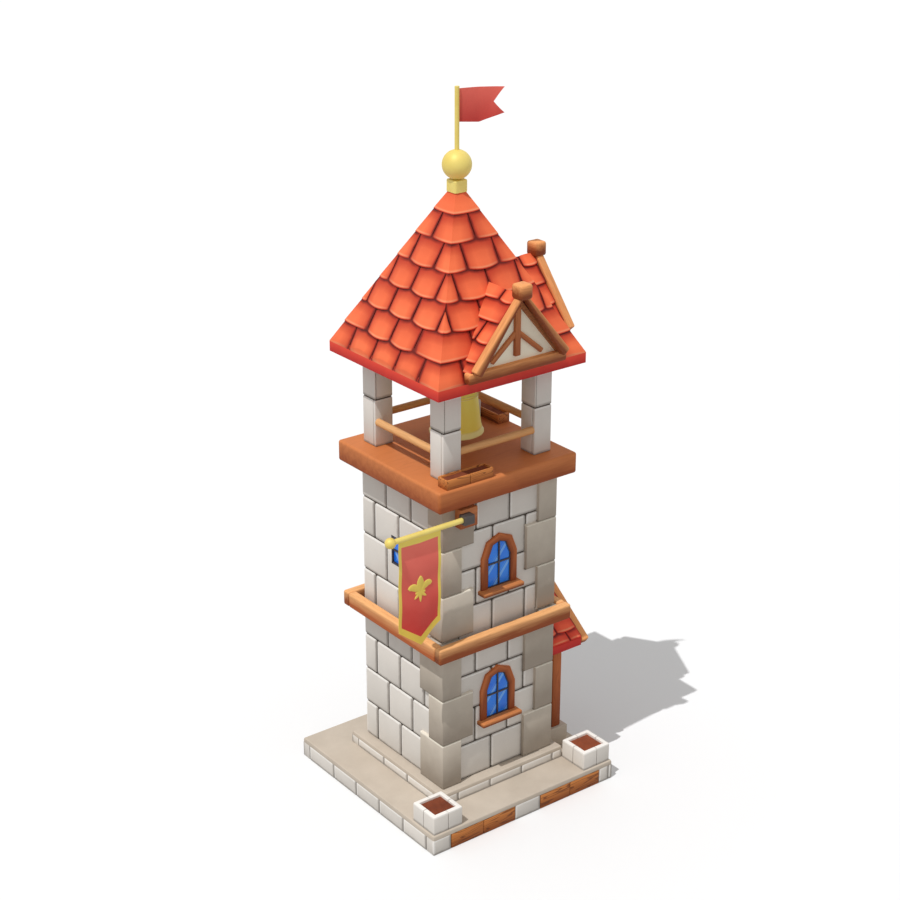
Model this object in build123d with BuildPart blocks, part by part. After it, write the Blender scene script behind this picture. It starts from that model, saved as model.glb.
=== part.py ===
from build123d import *
import math
import os

os.makedirs("parts", exist_ok=True)

# Bell tower: stone shaft on a stepped base, open belfry, hipped tile roof.
# Millimetres, +Z up, origin on the ground under the tower's axis.
# The front is the -Y side, and the porch with the door is on the +X side.

# ---- stepped base ----
platform_side = 6050
platform_height = 550
platform_round = 45
plinth_side = 4100
plinth_height = 340
plinth_round = 35
step_width = 3168
step_set_back = 400
step_height = 256
step_round = 25
threshold_width = 1600

# ---- shaft ----
shaft_side = 3500
shaft_height = 8100
wall_thickness = 320
floor_thickness = 180
quoin_proud = 95
quoin_long = 980
quoin_short = 600
quoin_joint = 20
quoin_joint_depth = 25
quoins_per_storey = 3
bedding = 0.3

# ---- string course of timber beams round the shaft ----
ring_rise = 3915
ring_height = 420
ring_reach = 405
ring_thickness = 245
ring_round = 55

# ---- belfry ----
deck_side = 4375
deck_height = 570
deck_board = 200
deck_round = 70
pillar_side = 545
pillar_inset = 482
pillar_height = 2165
pillar_bevel = 28
pillar_joint_rise = 1260
pillar_joint = 30
pillar_joint_depth = 16
rail_diameter = 195
rail_rise = 670
rail_inset = 90
plate_height = 260
plate_width = 250
bearer_height = 250
bearer_width = 240

# ---- bell and its headstock ----
bell_radius = 700
bell_height = 1440
lip_height = 30
lip_thickness = 95
band_radius = 635
band_height = 140
shoulder_radius = 525
shoulder_rise = 1120
bell_top_radius = 300
bell_wall = 55
crown_radius = 150
crown_height = 240
headstock_length = 2080
headstock_width = 240
headstock_height = 270
headstock_bevel = 30
gudgeon_radius = 36
gudgeon_play = 0.3
bearing_width = 150
bearing_cover = 45
bearing_set_back = 30
axis_above_bearer = 75
clapper_length = 1215
clapper_ball_radius = 105
clapper_rod_radius = 32
clapper_root_radius = 80
clapper_root_height = 90
clapper_tail = 60

# ---- roof ----
roof_overhang = 585
fascia_height = 265
roof_rise = 4255
roof_depth = 300
soffit_thickness = 80
cap_level = 270
apex_hole_radius = 60
tenon_length = 150
tenon_play = 2

# ---- finial, pole and flag ----
cap_side = 390
cap_height = 300
cap_round = 60
ball_radius = 368
ball_sink = 10
pole_radius = 58
pole_height = 1530
flag_length = 1140
flag_height = 860
flag_notch = 260
flag_taper = 77
flag_thickness = 24
flag_top_gap = 60
flag_turn = -22

# ---- dormer gables ----
dormer_front = 2660
dormer_apex = 2125
dormer_half = 1460
dormer_pitch = 50
timber_depth = 230
timber_width = 250
timber_round = 40
tie_height = 278
tie_half = 1500
tie_back_set = 50
tie_depth = 250
tie_lift = 20
tie_round = 45
panel_thickness = 90
panel_set_back = 320
king_width = 170
king_depth = 90
king_gap = 142
strut_width = 125
strut_rise = 620
strut_reach = 775
strut_pitch = 40
knob_side = 385
knob_rise = 165
knob_set_back = 115
knob_round = 70
knob_bevel = 50
dormer_roof_sink = 215
dormer_roof_thickness = 105
dormer_reach = 1500

# ---- windows ----
window_half = 570
window_spring = 865
window_shoulder_half = 402
window_shoulder = 1300
window_height = 1465
casing_width = 200
casing_proud = 70
casing_depth = 150
casing_bevel = 16
pane_thickness = 20
muntin_width = 46
muntin_depth = 60
transom_rise = 660
rebate = 5
pane_set_back = 40
sill_length = 1300
sill_reach = 280
sill_thickness = 110
sill_round = 22
lower_sill_rise = 1610
upper_sill_rise = 5410
slit_half = 464
slit_height = 805
slit_rise = 5675
slit_frame = 55

# ---- porch and door ----
porch_half = 1750
porch_eave = 3815
porch_pitch = 36.7
porch_roof_depth = 190
porch_fascia = 225
porch_fascia_board = 40
porch_reach = 2905
porch_board_depth = 245
porch_board_width = 250
porch_cut_rise = 400
post_side = 300
post_bevel = 30
post_x = 2300
post_y = 1355
porch_plate_height = 240
door_half = 525
door_spring = 1650
door_height = 2150
door_casing = 130
door_thickness = 70

# ---- planters and boxes ----
planter_gap = 5
planter_bevel = 22
planter_height = 525
planter_wall = 120
planter_inset = 60
planter_soil_drop = 60
box_length = 1435
box_depth = 380
box_height = 260
box_wall = 45
box_bevel = 12
box_soil_drop = 40
box_edge_gap = 47
box_start = 490

# ---- banner ----
banner_y = 2187
banner_pole_z = 8680
banner_pole_radius = 70
banner_pole_start = 1345
banner_pole_end = 3655
banner_ball_radius = 140
bracket_centre = 1200
bracket_width = 540
bracket_drop = 312
bracket_rise = 208
bracket_round = 30
socket_radius = 130
socket_length = 310
socket_let_in = 40
banner_width = 1255
banner_side_drop = 2450
banner_tip_drop = 2930
banner_edge = 2156
banner_thickness = 30

# ---- levels and half sizes that follow from the sizes above ----
plinth_base = platform_height
shaft_base = plinth_base + plinth_height
shaft_top = shaft_base + shaft_height
shaft_half = shaft_side / 2
inner_half = shaft_half - wall_thickness
quoin_face = shaft_half + quoin_proud
ring_base = shaft_base + ring_rise
ring_top = ring_base + ring_height
ring_half = shaft_half + ring_reach
deck_top = shaft_top + deck_height
pillar_face = deck_side / 2 - pillar_inset
pillar_centre = pillar_face - pillar_side / 2
pillar_inner = pillar_face - pillar_side
pillar_top = deck_top + pillar_height
roof_base = pillar_top + plate_height
roof_half = pillar_face + roof_overhang
eave_top = roof_base + fascia_height
roof_apex = eave_top + roof_rise
roof_slope = roof_rise / roof_half
cap_base = roof_apex - cap_level
swing_z = pillar_top + axis_above_bearer
crown_top = swing_z - headstock_height / 2
bell_top = crown_top - crown_height
bell_lip = bell_top - bell_height
bell_ceiling = bell_top - bell_wall
step_top = shaft_base + step_height
step_reach = platform_side / 2 - step_set_back


def save(piece, label):
    piece.part.label = label
    export_step(piece.part, f"parts/{label}.step")


def add_block(x_range, y_range, z_range, mode=Mode.ADD):
    """Add or cut an upright block between three pairs of limits."""
    centre = ((x_range[0] + x_range[1]) / 2, (y_range[0] + y_range[1]) / 2)
    with BuildSketch(Plane.XY.offset(z_range[0])) as outline:
        with Locations(centre):
            Rectangle(x_range[1] - x_range[0], y_range[1] - y_range[0])
    extrude(outline.sketch, amount=z_range[1] - z_range[0], mode=mode)


# ================= stepped base =================
with BuildPart() as platform:
    with BuildSketch():
        Rectangle(platform_side, platform_side)
    extrude(amount=platform_height)
    fillet(platform.edges().filter_by(Axis.Z), platform_round)
    fillet(platform.faces().sort_by(Axis.Z)[-1].edges(), platform_round)
save(platform, "platform")

with BuildPart() as plinth:
    with BuildSketch(Plane.XY.offset(plinth_base)):
        Rectangle(plinth_side, plinth_side)
    extrude(amount=plinth_height)
    fillet(plinth.edges().filter_by(Axis.Z), plinth_round)
    fillet(plinth.faces().sort_by(Axis.Z)[-1].edges(), plinth_round)
save(plinth, "plinth")

# The door's step: over the plinth beside the wall, and down to the platform beyond it.
with BuildPart() as doorstep:
    add_block((quoin_face, plinth_side / 2), (-step_width / 2, step_width / 2), (shaft_base, step_top))
    add_block((plinth_side / 2, step_reach), (-step_width / 2, step_width / 2), (plinth_base, step_top))
    threshold_span = (-threshold_width / 2, threshold_width / 2)
    add_block((shaft_half, quoin_face), threshold_span, (shaft_base, step_top))
    fillet(doorstep.faces().sort_by(Axis.Z)[-1].edges().sort_by(Axis.X)[1:], step_round)
save(doorstep, "doorstep")


# ================= windows and door outlines =================
# How far the corners of a faceted arch move for each millimetre that it is drawn inset.
spring_shift = 0.2
shoulder_side_shift = 0.9
shoulder_shift = 0.55
door_shoulder_share = 0.7


def arch_outline(half, spring, shoulder_half, shoulder, top):
    """A faceted arch: two straight legs and four slanted sides."""
    with BuildLine() as outline:
        Polyline(
            (0, 0), (half, 0), (half, spring), (shoulder_half, shoulder), (0, top),
            (-shoulder_half, shoulder), (-half, spring), (-half, 0), close=True
        )
    make_face(outline.edges())


def window_arch(inset):
    """The window's faceted arch, drawn inset from its outer edge and standing on the sill."""
    arch_outline(
        window_half - inset, window_spring - inset * spring_shift,
        window_shoulder_half - inset * shoulder_side_shift,
        window_shoulder - inset * shoulder_shift, window_height - inset
    )


def door_arch(outset):
    arch_outline(
        door_half + outset, door_spring,
        door_half * door_shoulder_share + outset * shoulder_side_shift,
        door_spring + (door_height - door_spring) * door_shoulder_share + outset * shoulder_shift,
        door_height + outset
    )


def wall_plane(z, out=0):
    """Front wall's outer face, at height z, looking out of the wall."""
    return Plane(origin=(0, -shaft_half - out, z), x_dir=(1, 0, 0), z_dir=(0, -1, 0))


casing_lap = casing_width / 2
window_levels = {"lower": shaft_base + lower_sill_rise, "upper": shaft_base + upper_sill_rise}
slit_base = shaft_base + slit_rise
door_level = step_top

# ================= walls =================
with BuildPart() as front_wall:
    add_block((-shaft_half, shaft_half), (-shaft_half, -inner_half), (shaft_base, shaft_top))
    for level in window_levels.values():
        with BuildSketch(wall_plane(level)):
            window_arch(casing_lap)
        extrude(amount=-wall_thickness, mode=Mode.SUBTRACT)
save(front_wall, "front_wall")

with BuildPart() as back_wall:
    add_block((-shaft_half, shaft_half), (inner_half, shaft_half), (shaft_base, shaft_top))
    add_block(
        (-slit_half, slit_half), (inner_half, shaft_half), (slit_base, slit_base + slit_height),
        mode=Mode.SUBTRACT
    )
save(back_wall, "back_wall")

with BuildPart() as left_wall:
    add_block((-shaft_half, -inner_half), (-inner_half, inner_half), (shaft_base, shaft_top))
    add_block(
        (-shaft_half, -inner_half), (-slit_half, slit_half), (slit_base, slit_base + slit_height),
        mode=Mode.SUBTRACT
    )
save(left_wall, "left_wall")

right_face = Plane(origin=(shaft_half, 0, door_level), x_dir=(0, 1, 0), z_dir=(1, 0, 0))
with BuildPart() as right_wall:
    add_block((inner_half, shaft_half), (-inner_half, inner_half), (shaft_base, shaft_top))
    with BuildSketch(right_face):
        door_arch(0)
    extrude(amount=-wall_thickness, mode=Mode.SUBTRACT)
save(right_wall, "right_wall")

with BuildPart() as upper_floor:
    floor_span = (-inner_half, inner_half)
    add_block(floor_span, floor_span, (ring_top - floor_thickness, ring_top))
save(upper_floor, "upper_floor")

# ================= quoins =================
# Each front corner has L-shaped stones, long and short in turn, and a band stone under the beams.
lower_storey = [shaft_base + i * ring_rise / quoins_per_storey for i in range(quoins_per_storey + 1)]
upper_rise = (shaft_top - ring_top) / quoins_per_storey
upper_storey = [ring_top + i * upper_rise for i in range(quoins_per_storey + 1)]


def quoin_stone(side, z0, z1, front_length, side_length, face):
    """One L-shaped stone round the corner at x = side * shaft_half."""
    with BuildSketch(Plane.XY.offset(z0)) as outline:
        with BuildLine():
            Polyline(
                (side * face, -face), (side * (face - front_length), -face),
                (side * (face - front_length), -shaft_half), (side * shaft_half, -shaft_half),
                (side * shaft_half, side_length - face), (side * face, side_length - face), close=True
            )
        make_face()
    extrude(outline.sketch, amount=z1 - z0)


def quoin_column(side, long_first):
    spans = list(zip(lower_storey, lower_storey[1:])) + list(zip(upper_storey, upper_storey[1:]))
    with BuildPart() as column:
        for index, (z0, z1) in enumerate(spans):
            long_front = (index % 2 == 0) == long_first
            front_length = quoin_long if long_front else quoin_short
            side_length = quoin_short if long_front else quoin_long
            quoin_stone(side, z0, z1, front_length, side_length, quoin_face)
        quoin_stone(side, ring_base, ring_top, quoin_short, quoin_short, ring_half - ring_thickness)
        joint_floor = quoin_face - quoin_joint_depth
        for z in lower_storey[1:-1] + upper_storey[1:-1]:
            with BuildSketch(Plane.XY.offset(z - quoin_joint / 2)) as joint:
                Rectangle(2 * quoin_face, 2 * quoin_face)
                Rectangle(2 * joint_floor, 2 * joint_floor, mode=Mode.SUBTRACT)
            extrude(joint.sketch, amount=quoin_joint, mode=Mode.SUBTRACT)
    return column


save(quoin_column(-1, False), "quoins_left")
save(quoin_column(1, True), "quoins_right")

# ================= timber beams round the shaft =================
ring_inner = ring_half - ring_thickness
ring_spans = {
    "ring_beam_front": ((-ring_half, ring_half), (-ring_half, -ring_inner)),
    "ring_beam_back": ((-ring_half, ring_half), (ring_inner, ring_half)),
    "ring_beam_left": ((-ring_half, -ring_inner), (-ring_inner, ring_inner)),
    "ring_beam_right": ((ring_inner, ring_half), (-ring_inner, ring_inner)),
}
for name, (x_range, y_range) in ring_spans.items():
    with BuildPart() as beam:
        add_block(x_range, y_range, (ring_base, ring_top))
        fillet(beam.edges(), ring_round)
    save(beam, name)

# ================= belfry =================
with BuildPart() as belfry_deck:
    with BuildSketch(Plane.XY.offset(shaft_top)):
        Rectangle(deck_side, deck_side)
    extrude(amount=deck_height)
    fillet(belfry_deck.edges().filter_by(Axis.Z), deck_round)
    fillet(belfry_deck.faces().sort_by(Axis.Z)[-1].edges(), deck_round)
    fillet(belfry_deck.faces().sort_by(Axis.Z)[0].edges(), deck_round)
    with BuildSketch(Plane.XY.offset(shaft_top)):
        Rectangle(2 * inner_half, 2 * inner_half)
    extrude(amount=deck_height - deck_board, mode=Mode.SUBTRACT)
save(belfry_deck, "belfry_deck")

corners = {"front_left": (-1, -1), "front_right": (1, -1), "back_left": (-1, 1), "back_right": (1, 1)}
rail_centre = pillar_face - rail_inset
rail_z = deck_top + rail_rise
for name, (sx, sy) in corners.items():
    with BuildPart() as pillar:
        with BuildSketch(Plane.XY.offset(deck_top)):
            with Locations((sx * pillar_centre, sy * pillar_centre)):
                Rectangle(pillar_side, pillar_side)
        extrude(amount=pillar_height)
        chamfer(pillar.edges().filter_by(Axis.Z), pillar_bevel)
        with BuildSketch(Plane.XY.offset(deck_top + pillar_joint_rise)):
            with Locations((sx * pillar_centre, sy * pillar_centre)):
                Rectangle(pillar_side, pillar_side)
                core_side = pillar_side - 2 * pillar_joint_depth
                Rectangle(core_side, core_side, mode=Mode.SUBTRACT)
        extrude(amount=pillar_joint, mode=Mode.SUBTRACT)
    save(pillar, f"pillar_{name}")

rail_length = 2 * pillar_inner
rail_places = {
    "rail_front": (Plane.YZ, (0, -rail_centre)), "rail_back": (Plane.YZ, (0, rail_centre)),
    "rail_left": (Plane.XZ, (-rail_centre, 0)), "rail_right": (Plane.XZ, (rail_centre, 0)),
}
for name, (plane, (x, y)) in rail_places.items():
    with BuildPart() as rail:
        with BuildSketch(Plane(origin=(x, y, rail_z), z_dir=plane.z_dir)):
            Circle(rail_diameter / 2)
        extrude(amount=rail_length / 2, both=True)
    save(rail, name)

# The bell frame: wall plates on the pillars, and two bearers let in between the pillars.
bearer_inner = pillar_inner
bearer_outer = bearer_inner + bearer_width
with BuildPart() as bell_frame:
    with BuildSketch(Plane.XY.offset(pillar_top)):
        Rectangle(2 * pillar_face, 2 * pillar_face)
        Rectangle(2 * (pillar_face - plate_width), 2 * (pillar_face - plate_width), mode=Mode.SUBTRACT)
    extrude(amount=plate_height)
    for side in (-1, 1):
        x_range = sorted((side * bearer_inner, side * bearer_outer))
        add_block(x_range, (-pillar_inner, pillar_inner), (pillar_top - bearer_height, pillar_top))
        outer = sorted((side * bearer_inner, side * (pillar_face - plate_width / 2)))
        for end in (-1, 1):
            y_range = sorted((end * (pillar_inner - bearer_width), end * pillar_face))
            add_block(outer, y_range, (pillar_top, pillar_top + bearer_height / 2))
        bearing_x = side * (bearer_inner + bearing_width / 2 + bearing_set_back)
        with BuildSketch(Plane(origin=(bearing_x, 0, swing_z), z_dir=(1, 0, 0), x_dir=(0, 1, 0))):
            Circle(gudgeon_radius + bearing_cover)
            with Locations((0, -axis_above_bearer / 2)):
                Rectangle(2 * (gudgeon_radius + bearing_cover), axis_above_bearer)
            Circle(gudgeon_radius + gudgeon_play, mode=Mode.SUBTRACT)
        extrude(amount=bearing_width / 2, both=True)
save(bell_frame, "bell_frame")

# ================= bell =================
# A straight-sided bell: a flared band at the lip, a tapering waist and a rounded shoulder.
band_top = bell_lip + band_height
shoulder_z = bell_lip + shoulder_rise
with BuildPart() as bell:
    with BuildSketch(Plane.XZ):
        with BuildLine():
            waist_taper = (shoulder_radius - band_radius, shoulder_z - band_top)
            Line((0, crown_top), (crown_radius, crown_top))
            Line((crown_radius, crown_top), (crown_radius, bell_top))
            Line((crown_radius, bell_top), (bell_top_radius, bell_top))
            Spline(
                (bell_top_radius, bell_top), (shoulder_radius, shoulder_z),
                tangents=((1, 0), (-waist_taper[0], -waist_taper[1]))
            )
            Polyline(
                (shoulder_radius, shoulder_z), (band_radius, band_top),
                (bell_radius, bell_lip + lip_height), (bell_radius, bell_lip),
                (bell_radius - lip_thickness, bell_lip),
                (band_radius - bell_wall, band_top), (shoulder_radius - bell_wall, shoulder_z)
            )
            Spline(
                (shoulder_radius - bell_wall, shoulder_z), (bell_top_radius - bell_wall, bell_ceiling),
                tangents=(waist_taper, (-1, 0))
            )
            Line((bell_top_radius - bell_wall, bell_ceiling), (0, bell_ceiling))
            Line((0, bell_ceiling), (0, crown_top))
        make_face()
    revolve(axis=Axis.Z)
save(bell, "bell")

with BuildPart() as headstock:
    add_block(
        (-headstock_length / 2, headstock_length / 2), (-headstock_width / 2, headstock_width / 2),
        (crown_top, crown_top + headstock_height)
    )
    chamfer(headstock.edges().filter_by(Axis.X), headstock_bevel)
    with BuildSketch(Plane(origin=(0, 0, swing_z), z_dir=(1, 0, 0))):
        Circle(gudgeon_radius)
    extrude(amount=bearer_outer - bearing_set_back, both=True)
save(headstock, "headstock")

with BuildPart() as clapper:
    with BuildSketch(Plane.XZ):
        with BuildLine():
            ball_z = bell_ceiling - clapper_length
            reach = math.sqrt(clapper_ball_radius ** 2 - clapper_rod_radius ** 2)
            Line((0, bell_ceiling), (clapper_root_radius, bell_ceiling))
            root_foot = bell_ceiling - clapper_root_height
            Line((clapper_root_radius, bell_ceiling), (clapper_rod_radius, root_foot))
            Line((clapper_rod_radius, root_foot), (clapper_rod_radius, ball_z + reach))
            ThreePointArc(
                (clapper_rod_radius, ball_z + reach), (clapper_ball_radius, ball_z),
                (clapper_rod_radius, ball_z - reach)
            )
            tail_foot = ball_z - reach - clapper_tail
            Line((clapper_rod_radius, ball_z - reach), (clapper_rod_radius, tail_foot))
            Line((clapper_rod_radius, tail_foot), (0, tail_foot))
            Line((0, tail_foot), (0, bell_ceiling))
        make_face()
    revolve(axis=Axis.Z)
save(clapper, "clapper")

# ================= roof =================
# One slope is drawn as the section of slab, fascia and soffit, then mitred along both hips.
soffit_inner = pillar_face - plate_width
with BuildPart() as front_slope:
    with BuildSketch(Plane.YZ):
        with BuildLine():
            inner_eave = roof_half - (fascia_height - soffit_thickness + roof_depth) / roof_slope
            Polyline(
                (-roof_half, roof_base), (-roof_half, eave_top), (-cap_level / roof_slope, cap_base),
                (-apex_hole_radius, cap_base),
                (-apex_hole_radius, roof_apex - roof_depth - apex_hole_radius * roof_slope),
                (-roof_half + (soffit_thickness + roof_depth - fascia_height) / roof_slope,
                 roof_base + soffit_thickness),
                (-soffit_inner, roof_base + soffit_thickness), (-soffit_inner, roof_base), close=True
            )
        make_face()
    extrude(amount=roof_half, both=True)
    hip_left = Plane(origin=(0, 0, 0), x_dir=(0, 0, 1), z_dir=(1, -1, 0))
    hip_right = Plane(origin=(0, 0, 0), x_dir=(0, 0, 1), z_dir=(-1, -1, 0))
    split(bisect_by=hip_left, keep=Keep.TOP)
    split(bisect_by=hip_right, keep=Keep.TOP)

for name, turn in {"roof_front": 0, "roof_right": 90, "roof_back": 180, "roof_left": 270}.items():
    with BuildPart() as slope:
        add(front_slope.part.rotate(Axis.Z, turn))
    save(slope, name)

# The roof's outer form, used to fit the dormers on it.
form_foot_drop = 1
form_tip_drop = 20
with BuildPart() as roof_form:
    with BuildSketch(Plane.XY.offset(roof_base - form_foot_drop)):
        Rectangle(2 * (roof_half + bedding), 2 * (roof_half + bedding))
    extrude(amount=eave_top - roof_base + form_foot_drop)
    with BuildSketch(Plane.XY.offset(eave_top)) as foot:
        Rectangle(2 * (roof_half + bedding), 2 * (roof_half + bedding))
    with BuildSketch(Plane.XY.offset(roof_apex - form_tip_drop)) as tip:
        tip_half = form_tip_drop / roof_slope + bedding
        Rectangle(2 * tip_half, 2 * tip_half)
    loft(sections=[foot.sketch.faces()[0], tip.sketch.faces()[0]])

# ================= finial, pole and flag =================
cap_top = cap_base + cap_height
ball_z = cap_top + ball_radius - ball_sink
pole_top = ball_z + ball_radius + pole_height - ball_sink
tenon_radius = apex_hole_radius - tenon_play
with BuildPart() as finial:
    with BuildSketch(Plane.XY.offset(cap_base)):
        RectangleRounded(cap_side, cap_side, cap_round)
    extrude(amount=cap_height)
    fillet(finial.faces().sort_by(Axis.Z)[-1].edges(), cap_round / 2)
    with BuildSketch(Plane.XZ):
        with BuildLine():
            neck = math.sqrt(ball_radius ** 2 - (ball_radius - ball_sink) ** 2)
            pole_foot = ball_z + math.sqrt(ball_radius ** 2 - pole_radius ** 2)
            tenon_foot = cap_base - tenon_length
            Polyline((0, pole_top), (0, tenon_foot), (tenon_radius, tenon_foot))
            Polyline((tenon_radius, tenon_foot), (tenon_radius, cap_top), (neck, cap_top))
            ThreePointArc((neck, cap_top), (ball_radius, ball_z), (pole_radius, pole_foot))
            Polyline((pole_radius, pole_foot), (pole_radius, pole_top), (0, pole_top))
        make_face()
    revolve(axis=Axis.Z)
save(finial, "finial")

flag_plane = Plane(
    origin=(0, 0, pole_top - flag_top_gap),
    x_dir=(math.cos(math.radians(flag_turn)), math.sin(math.radians(flag_turn)), 0),
    z_dir=(math.sin(math.radians(flag_turn)), -math.cos(math.radians(flag_turn)), 0),
)
with BuildPart() as flag:
    with BuildSketch(flag_plane):
        with BuildLine():
            start = pole_radius + bedding
            end = pole_radius + flag_length
            Polyline(
                (start, 0), (end, -flag_taper), (end - flag_notch, -flag_height / 2),
                (end, flag_taper - flag_height), (start, -flag_height), close=True
            )
        make_face()
    extrude(amount=flag_thickness / 2, both=True)
save(flag, "flag")

# ================= dormers =================
dormer_rise = math.tan(math.radians(dormer_pitch))
dormer_peak = eave_top + dormer_apex
board_drop = timber_width / math.cos(math.radians(dormer_pitch))
roof_drop = dormer_roof_thickness / math.cos(math.radians(dormer_pitch))
roof_peak = dormer_peak - dormer_roof_sink
tie_base = eave_top + tie_lift
tie_front = dormer_front - timber_depth + tie_back_set
gable_plane = Plane(origin=(0, -dormer_front, 0), x_dir=(1, 0, 0), z_dir=(0, -1, 0))


def gable_band(top, drop, half):
    """A chevron: two slanted boards that meet at the peak, with plumb-cut feet."""
    with BuildLine() as outline:
        foot = top - half * dormer_rise
        Polyline(
            (0, top), (half, foot), (half, foot - drop),
            (0, top - drop), (-half, foot - drop), (-half, foot), close=True
        )
    make_face(outline.edges())


# The knob sits astride the boards, with its foot on the ridge behind them.
knob_base = roof_peak + bedding
with BuildPart() as dormer_knob:
    with BuildSketch(Plane.XY.offset(knob_base)):
        with Locations((0, knob_set_back - dormer_front)):
            RectangleRounded(knob_side, knob_side, knob_round)
    extrude(amount=dormer_peak + knob_rise - knob_base)
    chamfer(dormer_knob.faces().sort_by(Axis.Z)[-1].edges(), knob_bevel)
    chamfer(dormer_knob.faces().sort_by(Axis.Z)[0].edges(), knob_bevel / 2)

with BuildPart() as dormer_tie:
    with BuildSketch(Plane.XY.offset(tie_base)):
        with Locations((0, tie_depth / 2 - tie_front)):
            Rectangle(2 * tie_half, tie_depth)
    extrude(amount=tie_height)
    fillet(dormer_tie.faces().sort_by(Axis.Y)[0].edges(), tie_round)


def dormer_gable(turn, label):
    with BuildPart() as gable:
        with BuildSketch(gable_plane):
            gable_band(dormer_peak, board_drop, dormer_half)
        extrude(amount=-timber_depth)
        fillet(gable.faces().sort_by(Axis.Y)[0].edges(), timber_round)
        add(dormer_knob.part)
        add(dormer_tie.part)
        infill_top = roof_peak - roof_drop - bedding
        infill_foot = tie_base + tie_height / 2
        infill_half = (infill_top - infill_foot) / dormer_rise
        with BuildSketch(gable_plane.offset(-panel_set_back)):
            with BuildLine():
                Polyline(
                    (0, infill_top), (infill_half, infill_foot), (-infill_half, infill_foot),
                    close=True
                )
            make_face()
        extrude(amount=-panel_thickness)
        king_top = infill_top - king_width / 2 * dormer_rise
        king_foot = tie_base + tie_height + king_gap
        with BuildSketch(gable_plane.offset(king_depth - panel_set_back)):
            with Locations((0, (king_top + king_foot) / 2)):
                Rectangle(king_width, king_top - king_foot)
            for side in (-1, 1):
                head = king_foot + strut_rise
                foot = head - strut_reach * math.tan(math.radians(strut_pitch))
                edge = strut_width / 2 / math.cos(math.radians(strut_pitch))
                tip = side * strut_reach
                with BuildLine():
                    Polyline(
                        (0, head + edge), (0, head - edge), (tip, foot - edge),
                        (tip, foot + edge), close=True
                    )
                make_face()
        extrude(amount=-king_depth)
        add(roof_form.part, mode=Mode.SUBTRACT)
    with BuildPart() as turned:
        add(gable.part.rotate(Axis.Z, turn))
    save(turned, label)


def dormer_roof(turn, label):
    with BuildPart() as roof:
        with BuildSketch(gable_plane.offset(-timber_depth)):
            gable_band(roof_peak, roof_drop, dormer_half)
        extrude(amount=-dormer_reach)
        add_block(
            (-tie_half, tie_half), (-tie_front, tie_depth - tie_front + bedding),
            (eave_top, tie_base + tie_height + bedding), mode=Mode.SUBTRACT
        )
        add(roof_form.part, mode=Mode.SUBTRACT)
    with BuildPart() as turned:
        add(roof.part.rotate(Axis.Z, turn))
    save(turned, label)


for side_name, turn in {"front": 0, "right": 90}.items():
    dormer_gable(turn, f"dormer_{side_name}_gable")
    dormer_roof(turn, f"dormer_{side_name}_roof")


# ================= window units =================
light_width = 2 * (window_half - casing_width + rebate)
light_height = window_height - casing_width + rebate


def arched_window(level, label):
    with BuildPart() as window:
        with BuildSketch(wall_plane(level)):
            window_arch(0)
        extrude(amount=casing_proud)
        chamfer(window.faces().sort_by(Axis.Y)[0].edges(), casing_bevel)
        with BuildSketch(wall_plane(level)):
            window_arch(casing_lap + bedding)
        extrude(amount=-casing_depth)
        with BuildSketch(wall_plane(level, casing_proud)):
            window_arch(casing_width)
        extrude(amount=-casing_proud - casing_depth, mode=Mode.SUBTRACT)
        with BuildSketch(wall_plane(level, -pane_set_back)):
            window_arch(casing_width - rebate)
        extrude(amount=-pane_thickness)
        with BuildSketch(wall_plane(level, muntin_depth / 2 - pane_set_back)):
            with Locations((0, light_height / 2)):
                Rectangle(muntin_width, light_height)
            for rise in (muntin_width / 2, transom_rise):
                with Locations((0, rise)):
                    Rectangle(light_width, muntin_width)
        extrude(amount=-muntin_depth)
        add_block(
            (-sill_length / 2, sill_length / 2), (-shaft_half - sill_reach, -shaft_half),
            (level - sill_thickness, level)
        )
        fillet(window.edges().filter_by(Axis.X).group_by(Axis.Y)[0], sill_round)
    save(window, label)


def slit_window(turn, label):
    """A plain rectangular light set in the wall: frame, cross bar and pane."""
    with BuildPart() as window:
        with BuildSketch(wall_plane(slit_base)):
            with Locations((0, slit_height / 2)):
                Rectangle(2 * slit_half - 2 * bedding, slit_height - 2 * bedding)
                Rectangle(
                    2 * (slit_half - slit_frame), slit_height - 2 * slit_frame, mode=Mode.SUBTRACT
                )
                Rectangle(2 * slit_half - slit_frame, muntin_width)
                Rectangle(muntin_width, slit_height - slit_frame)
        extrude(amount=-casing_depth)
        with BuildSketch(wall_plane(slit_base, -pane_set_back)):
            with Locations((0, slit_height / 2)):
                Rectangle(2 * slit_half - slit_frame, slit_height - slit_frame)
        extrude(amount=-pane_thickness)
    with BuildPart() as turned:
        add(window.part.rotate(Axis.Z, turn))
    save(turned, label)


for place, level in window_levels.items():
    arched_window(level, f"window_front_{place}")
slit_window(270, "window_left")
slit_window(180, "window_back")

# ================= door =================
with BuildPart() as door:
    with BuildSketch(right_face):
        door_arch(door_casing)
    extrude(amount=casing_proud)
    chamfer(door.faces().sort_by(Axis.X)[-1].edges(), casing_bevel)
    with BuildSketch(right_face):
        door_arch(-bedding)
    extrude(amount=-casing_depth)
    with BuildSketch(right_face.offset(casing_proud)):
        door_arch(-door_casing / 2)
    extrude(amount=-casing_proud - casing_depth + door_thickness, mode=Mode.SUBTRACT)
save(door, "door")

# ================= porch =================
porch_rise = math.tan(math.radians(porch_pitch))
porch_peak = porch_eave + porch_half * porch_rise
porch_plate_reach = post_y + post_side / 2
porch_plate_roof = porch_eave + (porch_half - porch_plate_reach) * porch_rise
porch_plate_top = porch_plate_roof - porch_roof_depth - bedding
porch_plate_base = porch_plate_top - porch_plate_height
porch_plane = Plane(origin=(porch_reach, 0, 0), x_dir=(0, 1, 0), z_dir=(1, 0, 0))


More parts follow.
